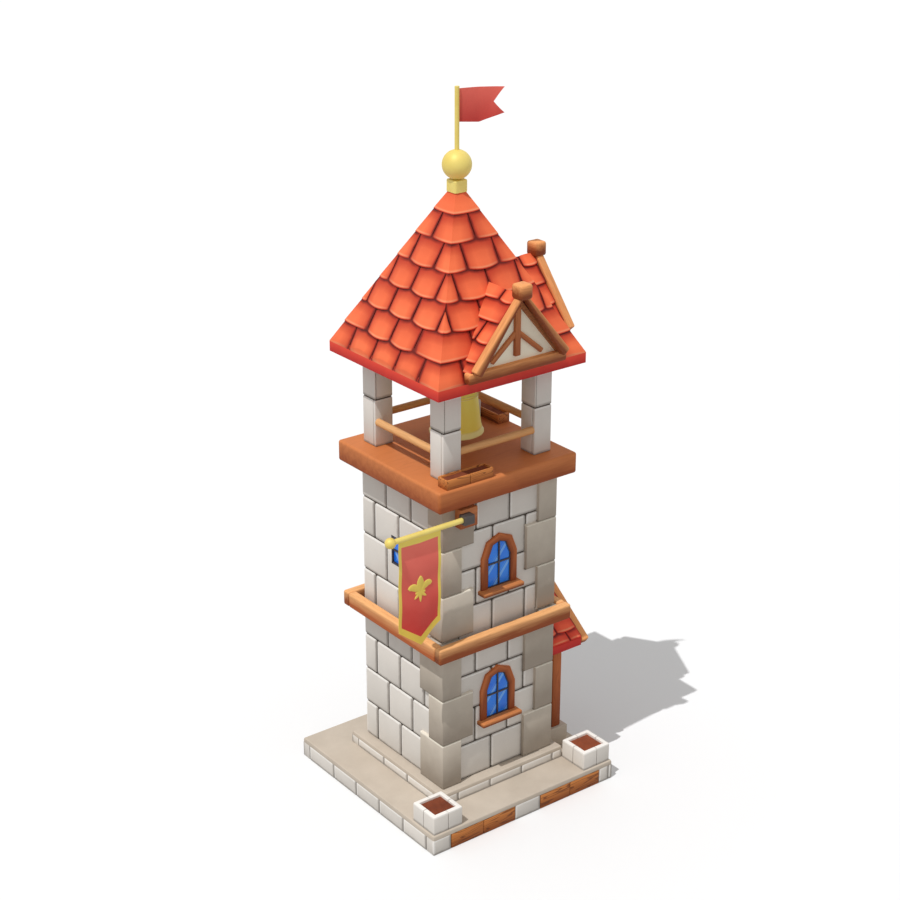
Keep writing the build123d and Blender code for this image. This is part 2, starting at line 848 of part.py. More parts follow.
def porch_band(top, drop, half, foot_drop):
    with BuildLine() as outline:
        foot = top - half * porch_rise
        inner = half - porch_fascia_board
        inner_foot = top - inner * porch_rise - drop
        Polyline(
            (0, top), (half, foot), (half, foot - foot_drop), (inner, foot - foot_drop),
            (inner, inner_foot), (0, top - drop), (-inner, inner_foot), (-inner, foot - foot_drop),
            (-half, foot - foot_drop), (-half, foot), close=True
        )
    make_face(outline.edges())


with BuildPart() as porch_frame:
    with BuildSketch(Plane.XY.offset(step_top)):
        with Locations((post_x, -post_y), (post_x, post_y)):
            Rectangle(post_side, post_side)
    extrude(amount=porch_plate_base - step_top)
    chamfer(porch_frame.edges().filter_by(Axis.Z), post_bevel)
    plate_levels = (porch_plate_base, porch_plate_top)
    for side in (-1, 1):
        y_range = sorted((side * (post_y - post_side / 2), side * (post_y + post_side / 2)))
        add_block((quoin_face, porch_reach), y_range, plate_levels)
    add_block((post_x - post_side / 2, post_x + post_side / 2), (-post_y, post_y), plate_levels)
    with BuildSketch(porch_plane):
        board_drop_porch = porch_board_width / math.cos(math.radians(porch_pitch))
        with BuildLine():
            foot = porch_peak - porch_half * porch_rise
            Polyline(
                (0, porch_peak), (porch_half, foot), (porch_half, foot - board_drop_porch),
                (0, porch_peak - board_drop_porch), (-porch_half, foot - board_drop_porch),
                (-porch_half, foot), close=True
            )
        make_face()
    extrude(amount=porch_board_depth)
    fillet(porch_frame.faces().sort_by(Axis.X)[-1].edges(), timber_round)
    with BuildSketch(Plane(origin=(post_x, 0, 0), x_dir=(0, 1, 0), z_dir=(1, 0, 0))):
        with BuildLine():
            inside = porch_peak - porch_roof_depth - bedding
            half = (inside - porch_plate_top) / porch_rise
            Polyline((0, inside), (half, porch_plate_top), (-half, porch_plate_top), close=True)
        make_face()
    extrude(amount=panel_thickness / 2, both=True)
save(porch_frame, "porch_frame")

with BuildPart() as porch_roof:
    with BuildSketch(porch_plane):
        porch_band(porch_peak, porch_roof_depth, porch_half, porch_fascia)
    extrude(amount=-(porch_reach - quoin_face))
    beam_cut = (ring_base - bedding, ring_top + porch_cut_rise)
    add_block((0, ring_half + bedding), (-ring_half, ring_half), beam_cut, mode=Mode.SUBTRACT)
save(porch_roof, "porch_roof")

# ================= planters =================
planter_far = platform_side / 2 - planter_inset
planter_near = plinth_side / 2 + planter_gap
for side, label in ((-1, "planter_left"), (1, "planter_right")):
    x_range = sorted((side * planter_far, side * planter_near))
    y_range = (-planter_far, -planter_near)
    with BuildPart() as planter:
        add_block(x_range, y_range, (platform_height, platform_height + planter_height))
        chamfer(planter.edges().filter_by(Axis.Z), planter_bevel)
        inner_x = (x_range[0] + planter_wall, x_range[1] - planter_wall)
        inner_y = (y_range[0] + planter_wall, y_range[1] - planter_wall)
        top = platform_height + planter_height
        add_block(inner_x, inner_y, (top - planter_soil_drop, top), mode=Mode.SUBTRACT)
    save(planter, label)

box_outer = deck_side / 2 - box_edge_gap
box_spans = {
    "deck_box_front": ((-box_start - box_length, -box_start), (-box_outer, box_depth - box_outer)),
    "deck_box_right": ((box_outer - box_depth, box_outer), (box_start, box_start + box_length)),
}
for label, (x_range, y_range) in box_spans.items():
    with BuildPart() as deck_box:
        add_block(x_range, y_range, (deck_top, deck_top + box_height))
        chamfer(deck_box.edges().filter_by(Axis.Z), box_bevel)
        inner_x = (x_range[0] + box_wall, x_range[1] - box_wall)
        inner_y = (y_range[0] + box_wall, y_range[1] - box_wall)
        top = deck_top + box_height
        add_block(inner_x, inner_y, (top - box_soil_drop, top), mode=Mode.SUBTRACT)
    save(deck_box, label)

# ================= banner =================
with BuildPart() as banner_pole:
    bracket_x = (-bracket_centre - bracket_width / 2, -bracket_centre + bracket_width / 2)
    bracket_face = banner_y - socket_radius + socket_let_in
    bracket_z = (banner_pole_z - bracket_drop, banner_pole_z + bracket_rise)
    add_block(bracket_x, (-bracket_face, -quoin_face), bracket_z)
    fillet(banner_pole.faces().sort_by(Axis.Y)[0].edges(), bracket_round)
    with BuildSketch(Plane(origin=(-banner_pole_start, -banner_y, banner_pole_z), z_dir=(1, 0, 0))):
        Circle(socket_radius)
    extrude(amount=socket_length / 2, both=True)
    with BuildSketch(Plane(origin=(-banner_pole_start, -banner_y, banner_pole_z), z_dir=(-1, 0, 0))):
        Circle(banner_pole_radius)
    extrude(amount=banner_pole_end - banner_pole_start)
    ball_centre = (-banner_pole_end, -banner_y, banner_pole_z)
    with BuildSketch(Plane(origin=ball_centre, x_dir=(1, 0, 0), z_dir=(0, -1, 0))):
        with BuildLine():
            CenterArc((0, 0), banner_ball_radius, 0, 180)
            Line((-banner_ball_radius, 0), (banner_ball_radius, 0))
        make_face()
    revolve(axis=Axis(ball_centre, (1, 0, 0)))
save(banner_pole, "banner_pole")

banner_top = banner_pole_z - banner_pole_radius - bedding
banner_plane = Plane(
    origin=(-banner_edge, -banner_y, banner_top), x_dir=(-1, 0, 0), z_dir=(0, 1, 0)
)
with BuildPart() as banner:
    with BuildSketch(banner_plane):
        with BuildLine():
            Polyline(
                (0, 0), (banner_width, 0), (banner_width, -banner_side_drop),
                (banner_width / 2, -banner_tip_drop), (0, -banner_side_drop), close=True
            )
        make_face()
    extrude(amount=banner_thickness / 2, both=True)
save(banner, "banner")
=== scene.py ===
import math
import bmesh
import bpy
import numpy as np
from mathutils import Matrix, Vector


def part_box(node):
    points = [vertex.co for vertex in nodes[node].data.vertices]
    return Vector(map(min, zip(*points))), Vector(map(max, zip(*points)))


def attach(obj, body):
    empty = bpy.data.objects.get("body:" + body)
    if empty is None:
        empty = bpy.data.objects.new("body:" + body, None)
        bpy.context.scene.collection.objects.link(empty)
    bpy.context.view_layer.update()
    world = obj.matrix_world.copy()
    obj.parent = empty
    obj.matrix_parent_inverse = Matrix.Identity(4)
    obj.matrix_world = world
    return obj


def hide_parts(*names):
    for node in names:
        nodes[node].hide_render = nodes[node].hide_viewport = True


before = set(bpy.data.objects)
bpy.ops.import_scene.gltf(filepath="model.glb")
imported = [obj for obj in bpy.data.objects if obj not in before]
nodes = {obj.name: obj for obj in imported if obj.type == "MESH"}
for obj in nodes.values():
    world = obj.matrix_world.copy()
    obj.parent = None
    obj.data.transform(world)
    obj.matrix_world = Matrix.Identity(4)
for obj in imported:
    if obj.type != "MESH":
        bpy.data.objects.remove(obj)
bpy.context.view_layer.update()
dice = np.random.default_rng(7)
print("frame loaded:", len(nodes), "nodes")

# Levels and half sizes of the tower in metres, read off the frame where a node gives them.
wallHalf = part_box("front_wall")[1].x
wallFoot, wallTop = (corner.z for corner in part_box("front_wall"))
beamLow, beamTop = (corner.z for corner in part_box("ring_beam_front"))
eaveHalf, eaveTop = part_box("roof_front")[1].x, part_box("roof_front")[0].z + 0.265
roofRise, stoneLength, sharpAngle = 4.255, 1.07, 32
roofPitch = math.atan(roofRise / eaveHalf)


# Neighbouring values, two by two.
def pairs(values):
    return list(zip(values, values[1:]))


# A colour is a triple of screen values, four linear numbers, or one number for a linear grey.
def paint(colour):
    if isinstance(colour, (int, float)):
        return (colour, colour, colour, 1.0)
    if len(colour) == 4:
        return colour
    # Screen value to linear: ((c + 0.055) / 1.055) ^ 2.4.
    linear = (((c / 255 + 0.055) / 1.055) ** 2.4 if c > 10 else c / 255 / 12.92 for c in colour)
    return (*linear, 1.0)


# Short forms of the nodes that the finishes share.
class Recipe:
    def __init__(self, tree):
        self.tree = tree

    def put(self, kind, inputs=(), **settings):
        node = self.tree.nodes.new("ShaderNode" + kind)
        for key, value in settings.items():
            setattr(node, key, value)
        for key, value in dict(inputs).items():
            if isinstance(value, bpy.types.NodeSocket):
                self.tree.links.new(value, node.inputs[key])
            else:
                node.inputs[key].default_value = value
        return node

    def maths(self, way, *values):
        return self.put("Math", enumerate(values), operation=way).outputs[0]

    def plus(self, first, second):
        return self.maths("ADD", first, second)

    def minus(self, first, second):
        return self.maths("SUBTRACT", first, second)

    def times(self, first, second):
        return self.maths("MULTIPLY", first, second)

    # A cloud's swing about its middle, times an amount.
    def swing(self, cloud, amount):
        return self.times(self.minus(cloud, 0.5), amount)

    # Values from low to high become start to end.
    def spread(self, value, low, high, start=0.0, end=1.0):
        ends = {"Value": value, "From Min": low, "From Max": high, "To Min": start, "To Max": end}
        return self.put("MapRange", ends).outputs[0]

    # Object space, or a vector attribute of the mesh.
    def space(self, scale=(1, 1, 1), attribute=None):
        if attribute:
            where = self.put("Attribute", attribute_name=attribute).outputs["Vector"]
        else:
            where = self.put("TexCoord").outputs["Object"]
        return self.put("Mapping", {"Vector": where, "Scale": scale}).outputs[0]

    def parts(self, vector):
        return self.put("SeparateXYZ", {"Vector": vector}).outputs

    def map(self, label):
        return self.put("UVMap", uv_map=label).outputs[0]

    def cloud(self, where, scale, detail=4.0, roughness=0.55):
        inputs = {"Vector": where, "Scale": scale, "Detail": detail, "Roughness": roughness}
        return self.put("TexNoise", inputs).outputs["Fac"]

    def ramp(self, value, *stops):
        node = self.put("ValToRGB", {"Fac": value})
        line = node.color_ramp.elements
        while len(line) < len(stops):
            line.new(0.5)
        for element, (place, colour) in zip(line, stops):
            element.position = place
            element.color = paint(colour)
        return node.outputs["Color"]

    def blend(self, amount, first, second, way="MIX"):
        ends = [value if isinstance(value, bpy.types.NodeSocket) else paint(value)
                for value in (first, second)]
        return self.put("Mix", zip((0, 6, 7), (amount, *ends)), data_type="RGBA", blend_type=way).outputs[2]

    def speckle(self, colour, grit, amount, dark):
        return self.blend(amount, colour, self.ramp(grit, (0.3, dark), (0.7, 1.0)), "MULTIPLY")

    # The last step of a finish: its colour, and its relief where it has one.
    def done(self, colour, height=None, strength=0.0, distance=0.0):
        self.tree.links.new(colour, self.shader.inputs["Base Color"])
        if height is not None:
            bump = self.put("Bump", {"Height": height, "Strength": strength, "Distance": distance})
            self.tree.links.new(bump.outputs["Normal"], self.shader.inputs["Normal"])
        return self.material


def newFinish(name, roughness, metallic=0.0):
    material = bpy.data.materials.new(name)
    material.use_nodes = True
    mix = Recipe(material.node_tree)
    mix.material, mix.shader = material, mix.tree.nodes["Principled BSDF"]
    mix.shader.inputs["Roughness"].default_value = roughness
    mix.shader.inputs["Metallic"].default_value = metallic
    mix.shader.inputs["Specular IOR Level"].default_value = 0.25 if roughness > 0.55 else 0.5
    return mix


# Cut stone. Map "spot" runs 0 to 1 over a block and "span" is the block's size in metres, so spot * span is a
# distance: a painted highlight lies within an inch or two of the left and upper edges, and painted shade along
# the right and lower.
def stoneFinish(name, light, shade, edgeHighlight, under, fall=0.4, edge=0.05):
    mix = newFinish(name, 0.86)
    across, up = mix.parts(mix.map("spot"))[:2]
    wide, tall = mix.parts(mix.map("span"))[:2]
    tone = mix.parts(mix.map("tone"))[0]
    here = mix.space()
    mottle, fine = mix.cloud(here, 1.7, 5.0), mix.cloud(here, 38.0, 6.0, 0.7)
    bandWobble = mix.swing(mix.cloud(here, 7.0, 3.0), 0.05)
    fromLeft, fromTop = mix.times(across, wide), mix.times(mix.minus(1.0, up), tall)
    fromRight, fromFoot = mix.minus(wide, fromLeft), mix.times(up, tall)
    # Painted shade: the colour runs from light at the upper left of a face to shade at its lower right, by
    # fall.
    slope = mix.times(mix.minus(mix.plus(across, 1.0), up), fall * 0.5)
    mixed = mix.plus(mix.plus(slope, mix.times(tone, 0.3)), mix.times(mottle, 0.35))
    colour = mix.ramp(mixed, (0.12, light), (0.95, shade))
    # Painted highlight along the left and upper edges, and painted shade along the right and lower ones.
    highlightAt = mix.plus(mix.maths("MINIMUM", fromLeft, fromTop), bandWobble)
    colour = mix.blend(mix.spread(highlightAt, edge * 0.55, edge * 1.25, 0.75, 0.0), colour, edgeHighlight)
    edgeShadeAt = mix.plus(mix.maths("MINIMUM", fromRight, fromFoot), bandWobble)
    colour = mix.blend(mix.spread(edgeShadeAt, edge * 0.45, edge * 1.6, 0.8, 0.0), colour, under)
    return mix.done(mix.speckle(colour, fine, 0.10, 0.5), mix.plus(fine, mix.times(mottle, 2.0)), 0.3, 0.006)


# Smooth paving and mortar: two tones of cloud with grit.
def plainStoneFinish(name, light, shade, roughness=0.85, grit=0.3):
    mix = newFinish(name, roughness)
    here = mix.space()
    fine = mix.cloud(here, 45.0, 6.0, 0.7)
    colour = mix.ramp(mix.cloud(here, 1.3, 5.0), (0.3, light), (0.72, shade))
    return mix.done(mix.speckle(colour, fine, 0.09, 0.4), fine, grit, 0.005)


# Timber: painted shade makes the colour fall from light at the top of a piece to shade at its underside, with
# noise drawn out along the grain and darker year lines bent by a second cloud. The height comes from attribute
# "rise", or from two levels of the object.
def timberFinish(name, light, shade, line, along=None, lines=0.2, levels=None, fall=0.85):
    mix = newFinish(name, 0.62)
    stretch = tuple(0.5 if axis == (along or "x") else 5 for axis in "xyz")
    here = mix.space(stretch, None if along else "grain")
    if levels:
        height = mix.spread(mix.parts(mix.space())[2], *levels)
    else:
        height = mix.put("Attribute", attribute_name="rise").outputs["Fac"]
    streak, rings = mix.cloud(here, 1.6, 5.0, 0.6), mix.cloud(here, 0.9, 2.0, 0.4)
    dark = mix.ramp(mix.maths("SINE", mix.times(rings, 60.0)), (0.55, 0), (0.95, 1))
    down = mix.plus(mix.minus(1.0, height), mix.swing(streak, 0.7))
    colour = mix.blend(mix.times(dark, lines), mix.ramp(down, (0.02, light), (fall, shade)), line)
    return mix.done(colour, mix.minus(streak, mix.times(dark, lines * 0.5)), 0.25, 0.006)


# Roof tile. Map "spot" runs 0 to 1 across the tile and in metres up from its lip, and the second value of
# "tone" is the distance below the course above: painted shade darkens the lip's front, a painted highlight lies
# on its rounded edge, and painted shade deepens the colour up the tile, towards the side seams and under the
# next lip.
def tileFinish(name, front, lip, body, deepShade, seam):
    mix = newFinish(name, 0.6)
    across, up = mix.parts(mix.map("spot"))[:2]
    tone, gap = mix.parts(mix.map("tone"))[:2]
    here = mix.space()
    mottle, fine = mix.cloud(here, 3.2), mix.cloud(here, 60.0, 5.0, 0.7)
    wave = mix.swing(mottle, 0.16)
    edge = mix.plus(mix.maths("ABSOLUTE", mix.minus(mix.times(across, 2.0), 1.0)), wave)
    # Halfway from the body colour to the deep painted shade.
    middle = [(one + other) / 2 for one, other in zip(paint(body), paint(deepShade))]
    # Up the tile: painted shade on the lip's front, a painted highlight on its rounded edge, then painted shade
    # deepening towards the head.
    colour = mix.ramp(mix.spread(up, -0.04, 0.8), (0.0, front), (0.065, front), (0.09, lip), (0.1, lip),
                      (0.15, body), (0.3, body), (0.85, middle), (1.0, deepShade))
    below = mix.plus(gap, mix.times(wave, 0.3))
    # Painted shadow under the lip of the course above, and a darker painted line right below that lip.
    colour = mix.blend(mix.spread(below, 0.03, 0.3, 0.9, 0.0), colour, deepShade)
    colour = mix.blend(mix.spread(below, 0.02, 0.095, 1.0, 0.0), colour, seam)
    # Painted shade towards the side seams, darkest at the seams themselves.
    colour = mix.blend(mix.ramp(edge, (0.4, 0), (0.78, 0.45), (0.93, 0.9)), colour, deepShade)
    colour = mix.blend(mix.ramp(edge, (0.88, 0), (0.97, 0.9)), colour, seam)
    colour = mix.blend(mix.times(tone, 0.2), colour, deepShade)
    return mix.done(mix.speckle(colour, fine, 0.08, 0.4), mix.plus(fine, mottle), 0.2, 0.006)


# Painted boards of the eaves: painted shade makes the colour fall a little from the top edge to the bottom one.
def eavesFinish(name, upper, lower, low, high):
    mix = newFinish(name, 0.6)
    here = mix.space()
    level = mix.plus(mix.spread(mix.parts(here)[2], low, high), mix.swing(mix.cloud(here, 4.0), 0.3))
    return mix.done(mix.ramp(level, (0.0, lower), (1.0, upper)), mix.cloud(here, 50.0, 5.0), 0.15, 0.004)


# Gilding and bell metal: a warm, half-polished metal whose tone shifts slowly, with rubbed patches in its
# gloss, and another colour below bandLevel where a band is given.
def gildFinish(name, bright, body, roughness, metallic, band=None, bandLevel=None):
    mix = newFinish(name, roughness, metallic)
    here = mix.space()
    colour = mix.ramp(mix.cloud(here, 1.1, 3.0), (0.3, body), (0.7, bright))
    if band:
        colour = mix.blend(mix.spread(mix.parts(here)[2], bandLevel, bandLevel + 0.012), band, colour)
    fine = mix.cloud(here, 26.0, 5.0, 0.6)
    gloss = mix.spread(fine, 0.0, 1.0, roughness - 0.08, roughness + 0.14)
    mix.tree.links.new(gloss, mix.shader.inputs["Roughness"])
    return mix.done(colour, fine, 0.06, 0.003)


# Window glass: deep blue with slanting pale gleams painted in; acrossAxis is the axis along the wall.
def glassFinish(name, acrossAxis):
    mix = newFinish(name, 0.2)
    mix.shader.inputs["Specular IOR Level"].default_value = 0.3
    mix.shader.inputs["Coat Weight"].default_value = 0.1
    here = mix.space()
    parts = mix.parts(here)
    slant = mix.minus(parts[2], mix.times(parts[acrossAxis], 1.25))
    band = mix.ramp(mix.maths("FRACT", mix.times(slant, 1.62)), (0.40, 0), (0.43, 1), (0.60, 1), (0.63, 0),
                    (0.70, 0), (0.72, 0.7), (0.76, 0))
    colour = mix.ramp(mix.cloud(here, 1.1, 3.0), (0.3, (22, 112, 238)), (0.7, (40, 142, 252)))
    return mix.done(mix.blend(mix.times(band, 0.6), colour, (140, 200, 255)))


# Cloth: a plain weave of two crossing waves on the sheet's own map in metres, darkening from its top edge
# downwards as painted shade.
def clothFinish(name, light, shade, length):
    mix = newFinish(name, 0.82)
    mix.shader.inputs["Sheen Weight"].default_value = 0.15
    own = mix.map("spot")
    parts = mix.parts(own)
    warp, weft = (mix.maths("SINE", mix.times(parts[axis], 90.0 * 6.283)) for axis in (0, 1))
    weave = mix.times(warp, weft)
    shadeFall = mix.plus(mix.maths("DIVIDE", parts[1], length), mix.swing(mix.cloud(own, 1.6), 0.35))
    colour = mix.ramp(shadeFall, (0.05, light), (0.95, shade))
    return mix.done(mix.blend(0.12, colour, mix.ramp(weave, (0.0, 0.55), (1.0, 1)), "MULTIPLY"), weave, 0.25,
                    0.002)


# The last two colours of a stone are its painted edge highlight and painted edge shade.
wallStone = stoneFinish("wall_stone_light", (237, 230, 221), (208, 202, 194), (250, 246, 240),
                        (152, 145, 137))
quoinStone = stoneFinish("quoin_stone_warm", (232, 221, 204), (168, 156, 142), (240, 232, 216),
                         (144, 134, 120), 1.0, 0.04)
pavingStone = plainStoneFinish("paving_stone", (204, 191, 175), (192, 179, 163))
mortar = plainStoneFinish("mortar_dark", (94, 86, 78), (70, 64, 58), 0.95, 0.6)
beamLevels, railLevels = (beamLow, beamTop), (wallTop + 1.1, wallTop + 1.4)
# Beams along x face front and back and take a darker shade colour than those along y: a shaded copy of one
# timber, as painted shade.
timberX = timberFinish("timber_along_x", (240, 178, 118), (144, 72, 34), (124, 62, 28), "x", 0.14, beamLevels,
                       0.6)
timberY = timberFinish("timber_along_y", (240, 178, 118), (176, 90, 42), (146, 76, 36), "y", 0.14, beamLevels,
                       0.7)
railX, railY = (timberFinish(f"rail_along_{axis}", (236, 184, 126), (214, 150, 90), (160, 102, 56), axis,
                             0.18, railLevels)
                for axis in "xy")
deckTimber = timberFinish("deck_timber", (208, 126, 72), (150, 74, 34), (126, 60, 28), "x", 0.07,
                          (wallTop, wallTop + 0.57))
frameTimber = timberFinish("frame_timber_x", (168, 104, 62), (140, 82, 48), (96, 52, 28), "x", 0.3,
                           (11.5, 12.1))
gableTimber = timberFinish("gable_timber", (240, 164, 102), (136, 66, 30), (120, 58, 27), lines=0.16,
                           fall=0.66)
strutTimber = timberFinish("strut_timber", (206, 128, 78), (164, 90, 50), (120, 62, 34))
darkTimber = timberFinish("dark_timber", (198, 112, 62), (142, 70, 32), (100, 48, 22))
sillTimber = timberFinish("sill_timber", (206, 130, 76), (136, 70, 34), (130, 66, 32))
boxTimber = timberFinish("box_timber", (212, 134, 70), (158, 86, 36), (96, 48, 20), lines=0.75)
# Tile colours: the lip's front in painted shade, the lip's painted highlight, the body, the deep painted shade,
# and the seams with the painted shadow below each lip.
roofTile = tileFinish("roof_tile", (224, 68, 44), (255, 158, 114), (255, 122, 76), (186, 50, 30), (80, 12, 8))
# The porch lies in shade and takes its own copy of the tile colours, redder in the body and lighter in the deep
# shade and seams: painted light.
porchTile = tileFinish("porch_tile", (232, 72, 52), (255, 158, 114), (255, 104, 70), (216, 56, 40),
                       (92, 14, 10))
eavesRed = eavesFinish("eaves_red", (248, 80, 58), (184, 34, 32), eaveTop - 0.28, eaveTop + 0.06)
porchRed = eavesFinish("porch_eaves_red", (240, 66, 50), (174, 30, 32), 3.5, 4.1)
# A dark bed under the tiles, whose colour stands in for the shade seen in the gaps between them: painted shade.
seamShadeBed = plainStoneFinish("roof_seam_shade_bed", (88, 18, 12), (62, 12, 8), 0.9)
gold = gildFinish("gilding", (244, 224, 128), (230, 202, 98), 0.5, 0.12)
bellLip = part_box("bell")[0].z
bellMetal = gildFinish("bell_metal", (255, 240, 108), (255, 228, 86), 0.46, 0.0, (255, 244, 160),
                       bellLip + 0.14)
bellBead = gildFinish("bell_bead", (255, 240, 150), (250, 228, 124), 0.44, 0.0)
iron = gildFinish("dark_iron", (92, 84, 80), (58, 52, 50), 0.5, 0.4)
lead = gildFinish("window_lead", (60, 54, 66), (42, 38, 50), 0.5, 0.2)
glassFront, glassSide = glassFinish("glass_front", 0), glassFinish("glass_side", 1)
plaster = plainStoneFinish("gable_plaster", (255, 247, 224), (252, 240, 216), 0.9, 0.4)
soil = plainStoneFinish("planter_soil", (150, 78, 48), (112, 56, 36), 0.95, 0.9)
bannerRed = clothFinish("banner_red", (255, 128, 112), (220, 62, 54), 2.7)
flagRed = clothFinish("flag_red", (244, 112, 98), (206, 66, 60), 0.86)
goldCloth = clothFinish("gold_cloth", (255, 230, 112), (244, 206, 84), 2.9)
print("finishes ready:", len(bpy.data.materials))


def addObject(name, data):
    made = bpy.data.objects.new(name, data)
    bpy.context.scene.collection.objects.link(made)
    return made


# A piece: its mesh, maps and attributes, and the body that it is attached to; "over" lists the nodes that it
# replaces.
def finishMesh(name, points, faces, finish, slot=None, over=(), body="tower", maps=None, grain=None,
               rise=None, sharp=sharpAngle):
    mesh = bpy.data.meshes.new(name)
    mesh.from_pydata(points.reshape(-1, 3).tolist(), [], faces)
    if grain is not None:
        for label, kind, field, values in (("grain", "FLOAT_VECTOR", "vector", grain),
                                           ("rise", "FLOAT", "value", rise)):
            mesh.attributes.new(label, kind, "POINT").data.foreach_set(field, np.float32(values).ravel())
    corner = np.zeros(len(mesh.loops), np.int32)
    mesh.loops.foreach_get("vertex_index", corner)
    for label, values in (maps or {}).items():
        layer = mesh.uv_layers.new(name=label)
        layer.data.foreach_set("uv", np.float32(values.reshape(-1, 2)[corner]).ravel())
    work = bmesh.new()
    work.from_mesh(mesh)
    bmesh.ops.recalc_face_normals(work, faces=work.faces)
    work.to_mesh(mesh)
    work.free()
    mesh.shade_smooth()
    mesh.set_sharp_from_angle(angle=math.radians(sharp))
    for one in finish if isinstance(finish, (list, tuple)) else [finish]:
        mesh.materials.append(one)
    piece = addObject(name, mesh)
    if body:
        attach(piece, body)
    if over:
        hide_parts(*over)
    return piece


# Rings stand as rings[piece, ring, point]: quads between neighbouring rings, and a cap at each end unless
# they join up.
def ringFaces(count, rings, around, joined):
    ring = np.arange(rings if joined else rings - 1)[:, None] * around
    above = (ring + around) % (rings * around)
    point = np.arange(around)
    beside = (point + 1) % around
    start = (np.arange(count) * rings * around)[:, None]
    quads = np.stack([ring + point, ring + beside, above + beside, above + point], -1).reshape(-1, 4)
    quads = (start[..., None] + quads).reshape(-1, 4).tolist()
    if joined:
        return quads
    return quads + (start + point[::-1]).tolist() + (start + (rings - 1) * around + point).tolist()


# Attribute "rise" is a point's share of the height of its own ring, or of the whole piece where its rings lie
# level.
def ringMesh(name, rings, finish, slot=None, over=(), joined=False, **more):
    level = rings[..., 2]
    foot, head = level.min(2, keepdims=True), level.max(2, keepdims=True)
    flat = head - foot < 0.02
    foot = np.where(flat, level.min((1, 2), keepdims=True), foot)
    head = np.where(flat, level.max((1, 2), keepdims=True), head)
    rise = (level - foot) / np.maximum(head - foot, 0.001)
    return finishMesh(name, rings, ringFaces(*rings.shape[:3], joined), finish, slot, over, rise=rise, **more)


# An outline at two levels.
def slabRings(outline, low, high):
    return np.stack([np.column_stack([outline, np.full(len(outline), level)]) for level in (low, high)])[None]


# Rounded rectangle: each corner's centre plus its radius times (cos, sin) over a quarter turn.
def roundedRing(left, right, low, high, radius):
    turn = np.radians(np.concatenate([np.linspace(start, start + 90, 3) for start in (0, 90, 180, 270)]))
    onRight, onTop = np.repeat([True, False, False, True], 3), np.repeat([True, True, False, False], 3)
    limits = (left, right, low, high, radius)
    left, right, low, high, radius = (np.asarray(value, float)[..., None] for value in limits)
    x = np.where(onRight, right - radius, left + radius) + radius * np.cos(turn)
    y = np.where(onTop, high - radius, low + radius) + radius * np.sin(turn)
    return x, y


# Blocks from limits (left, right, low, high, bottom, top): rounded rings stacked from bottom to top; a ring
# at quarter-turn angle t is drawn in by bevel * (1 - cos t) and stands bevel * (1 - sin t) short of the end.
def blockRings(limits, radius, bevel, bothEnds=True):
    left, right, low, high, bottom, top = np.array(limits, float).T[..., None]
    quarter = np.radians([90.0, 45.0, 0.0])
    inset, short = bevel * (1 - np.cos(quarter)), bevel * (1 - np.sin(quarter))
    insets = np.concatenate([inset if bothEnds else np.zeros(1), inset[::-1]])
    level = np.concatenate([bottom + (short if bothEnds else 0), top - short[::-1]], 1)
    ringRadius = np.maximum(radius - insets * 0.7, 0.002) + 0 * left
    x, y = roundedRing(left + insets, right - insets, low + insets, high - insets, ringRadius)
    return np.stack([x, y, np.broadcast_to(level[..., None], x.shape)], -1)


# A placement is an origin and the three directions of a local point's values.
def placed(local, place):
    origin, along, up, out = (np.asarray(part, float) for part in place)
    return origin + local[..., :1] * along + local[..., 1:2] * up + local[..., 2:3] * out


def standing(x=0, y=0, z=0):
    return (x, y, z), (1, 0, 0), (0, 1, 0), (0, 0, 1)


# Placement on an upright face of the tower, at a distance from its middle.
def facing(side, half=wallHalf, level=0):
    x, y = {"front": (0, -1), "left": (-1, 0), "back": (0, 1), "right": (1, 0)}[side]
    return (half * x, half * y, level), (-y, x, 0), (0, 0, 1), (x, y, 0)


def turnedAbout(points, degrees):
    angle = math.radians(degrees)
    cosine, sine = math.cos(angle), math.sin(angle)
    spin = np.array([[cosine, -sine, 0], [sine, cosine, 0], [0, 0, 1]])
    return points @ spin.T


# Map "spot" of a block runs to its middle down the sides, so only the face's edges take painted highlight and
# shade.
def blockMaps(local, limits):
    left, right, low, high, bottom, top = np.array(limits, float).T[..., None, None]
    size, start = np.stack([right - left, high - low], -1), np.stack([left, low], -1)
    depth = np.clip((top - local[..., 2]) / (top - bottom), 0, 1)[..., None]
    spot = (local[..., :2] - start) / size * (1 - depth) + 0.5 * depth
    tone = np.broadcast_to(dice.random((len(limits), 2))[:, None, None], spot.shape)
    return {"spot": spot, "tone": tone, "span": np.broadcast_to(size, spot.shape)}


# Maps of stones of other outlines: a height from 0 at low to 1 at high, at one place across a given width.
def heightMaps(level, low, high, across, wide, tone):
    spot = np.stack([across + 0 * level, (level - low) / (high - low)], -1)
    span = np.stack([wide + 0 * level, high - low + 0 * level], -1)
    return {"spot": spot, "tone": np.broadcast_to(tone, spot.shape), "span": span}


# Blocks laid on a face: limits are along, up and out of that face.
def layBlocks(name, limits, place, finish, slot, radius=0.03, bevel=0.02, bothEnds=False, **more):
    local = blockRings(limits, radius, bevel, bothEnds)
    shift = dice.random((len(local), 1, 1, 3)) * 9
    return ringMesh(name, placed(local, place), finish, slot, maps=blockMaps(local, limits),
                    grain=local + shift, **more)


# A beam from start to end: the block's third axis runs along it, and its sides face "side" and across it.
def beamRings(start, end, width, depth, side, radius, bevel):
    start, end, side = (np.asarray(v, float) for v in (start, end, side))
    length = np.linalg.norm(end - start)
    along = (end - start) / length
    side = side - along * (side @ along)
    side /= np.linalg.norm(side)
    local = blockRings([[-width / 2, width / 2, -depth / 2, depth / 2, 0, length]], radius, bevel)
    return placed(local, (start, side, np.cross(along, side), along)), local[..., [2, 0, 1]]


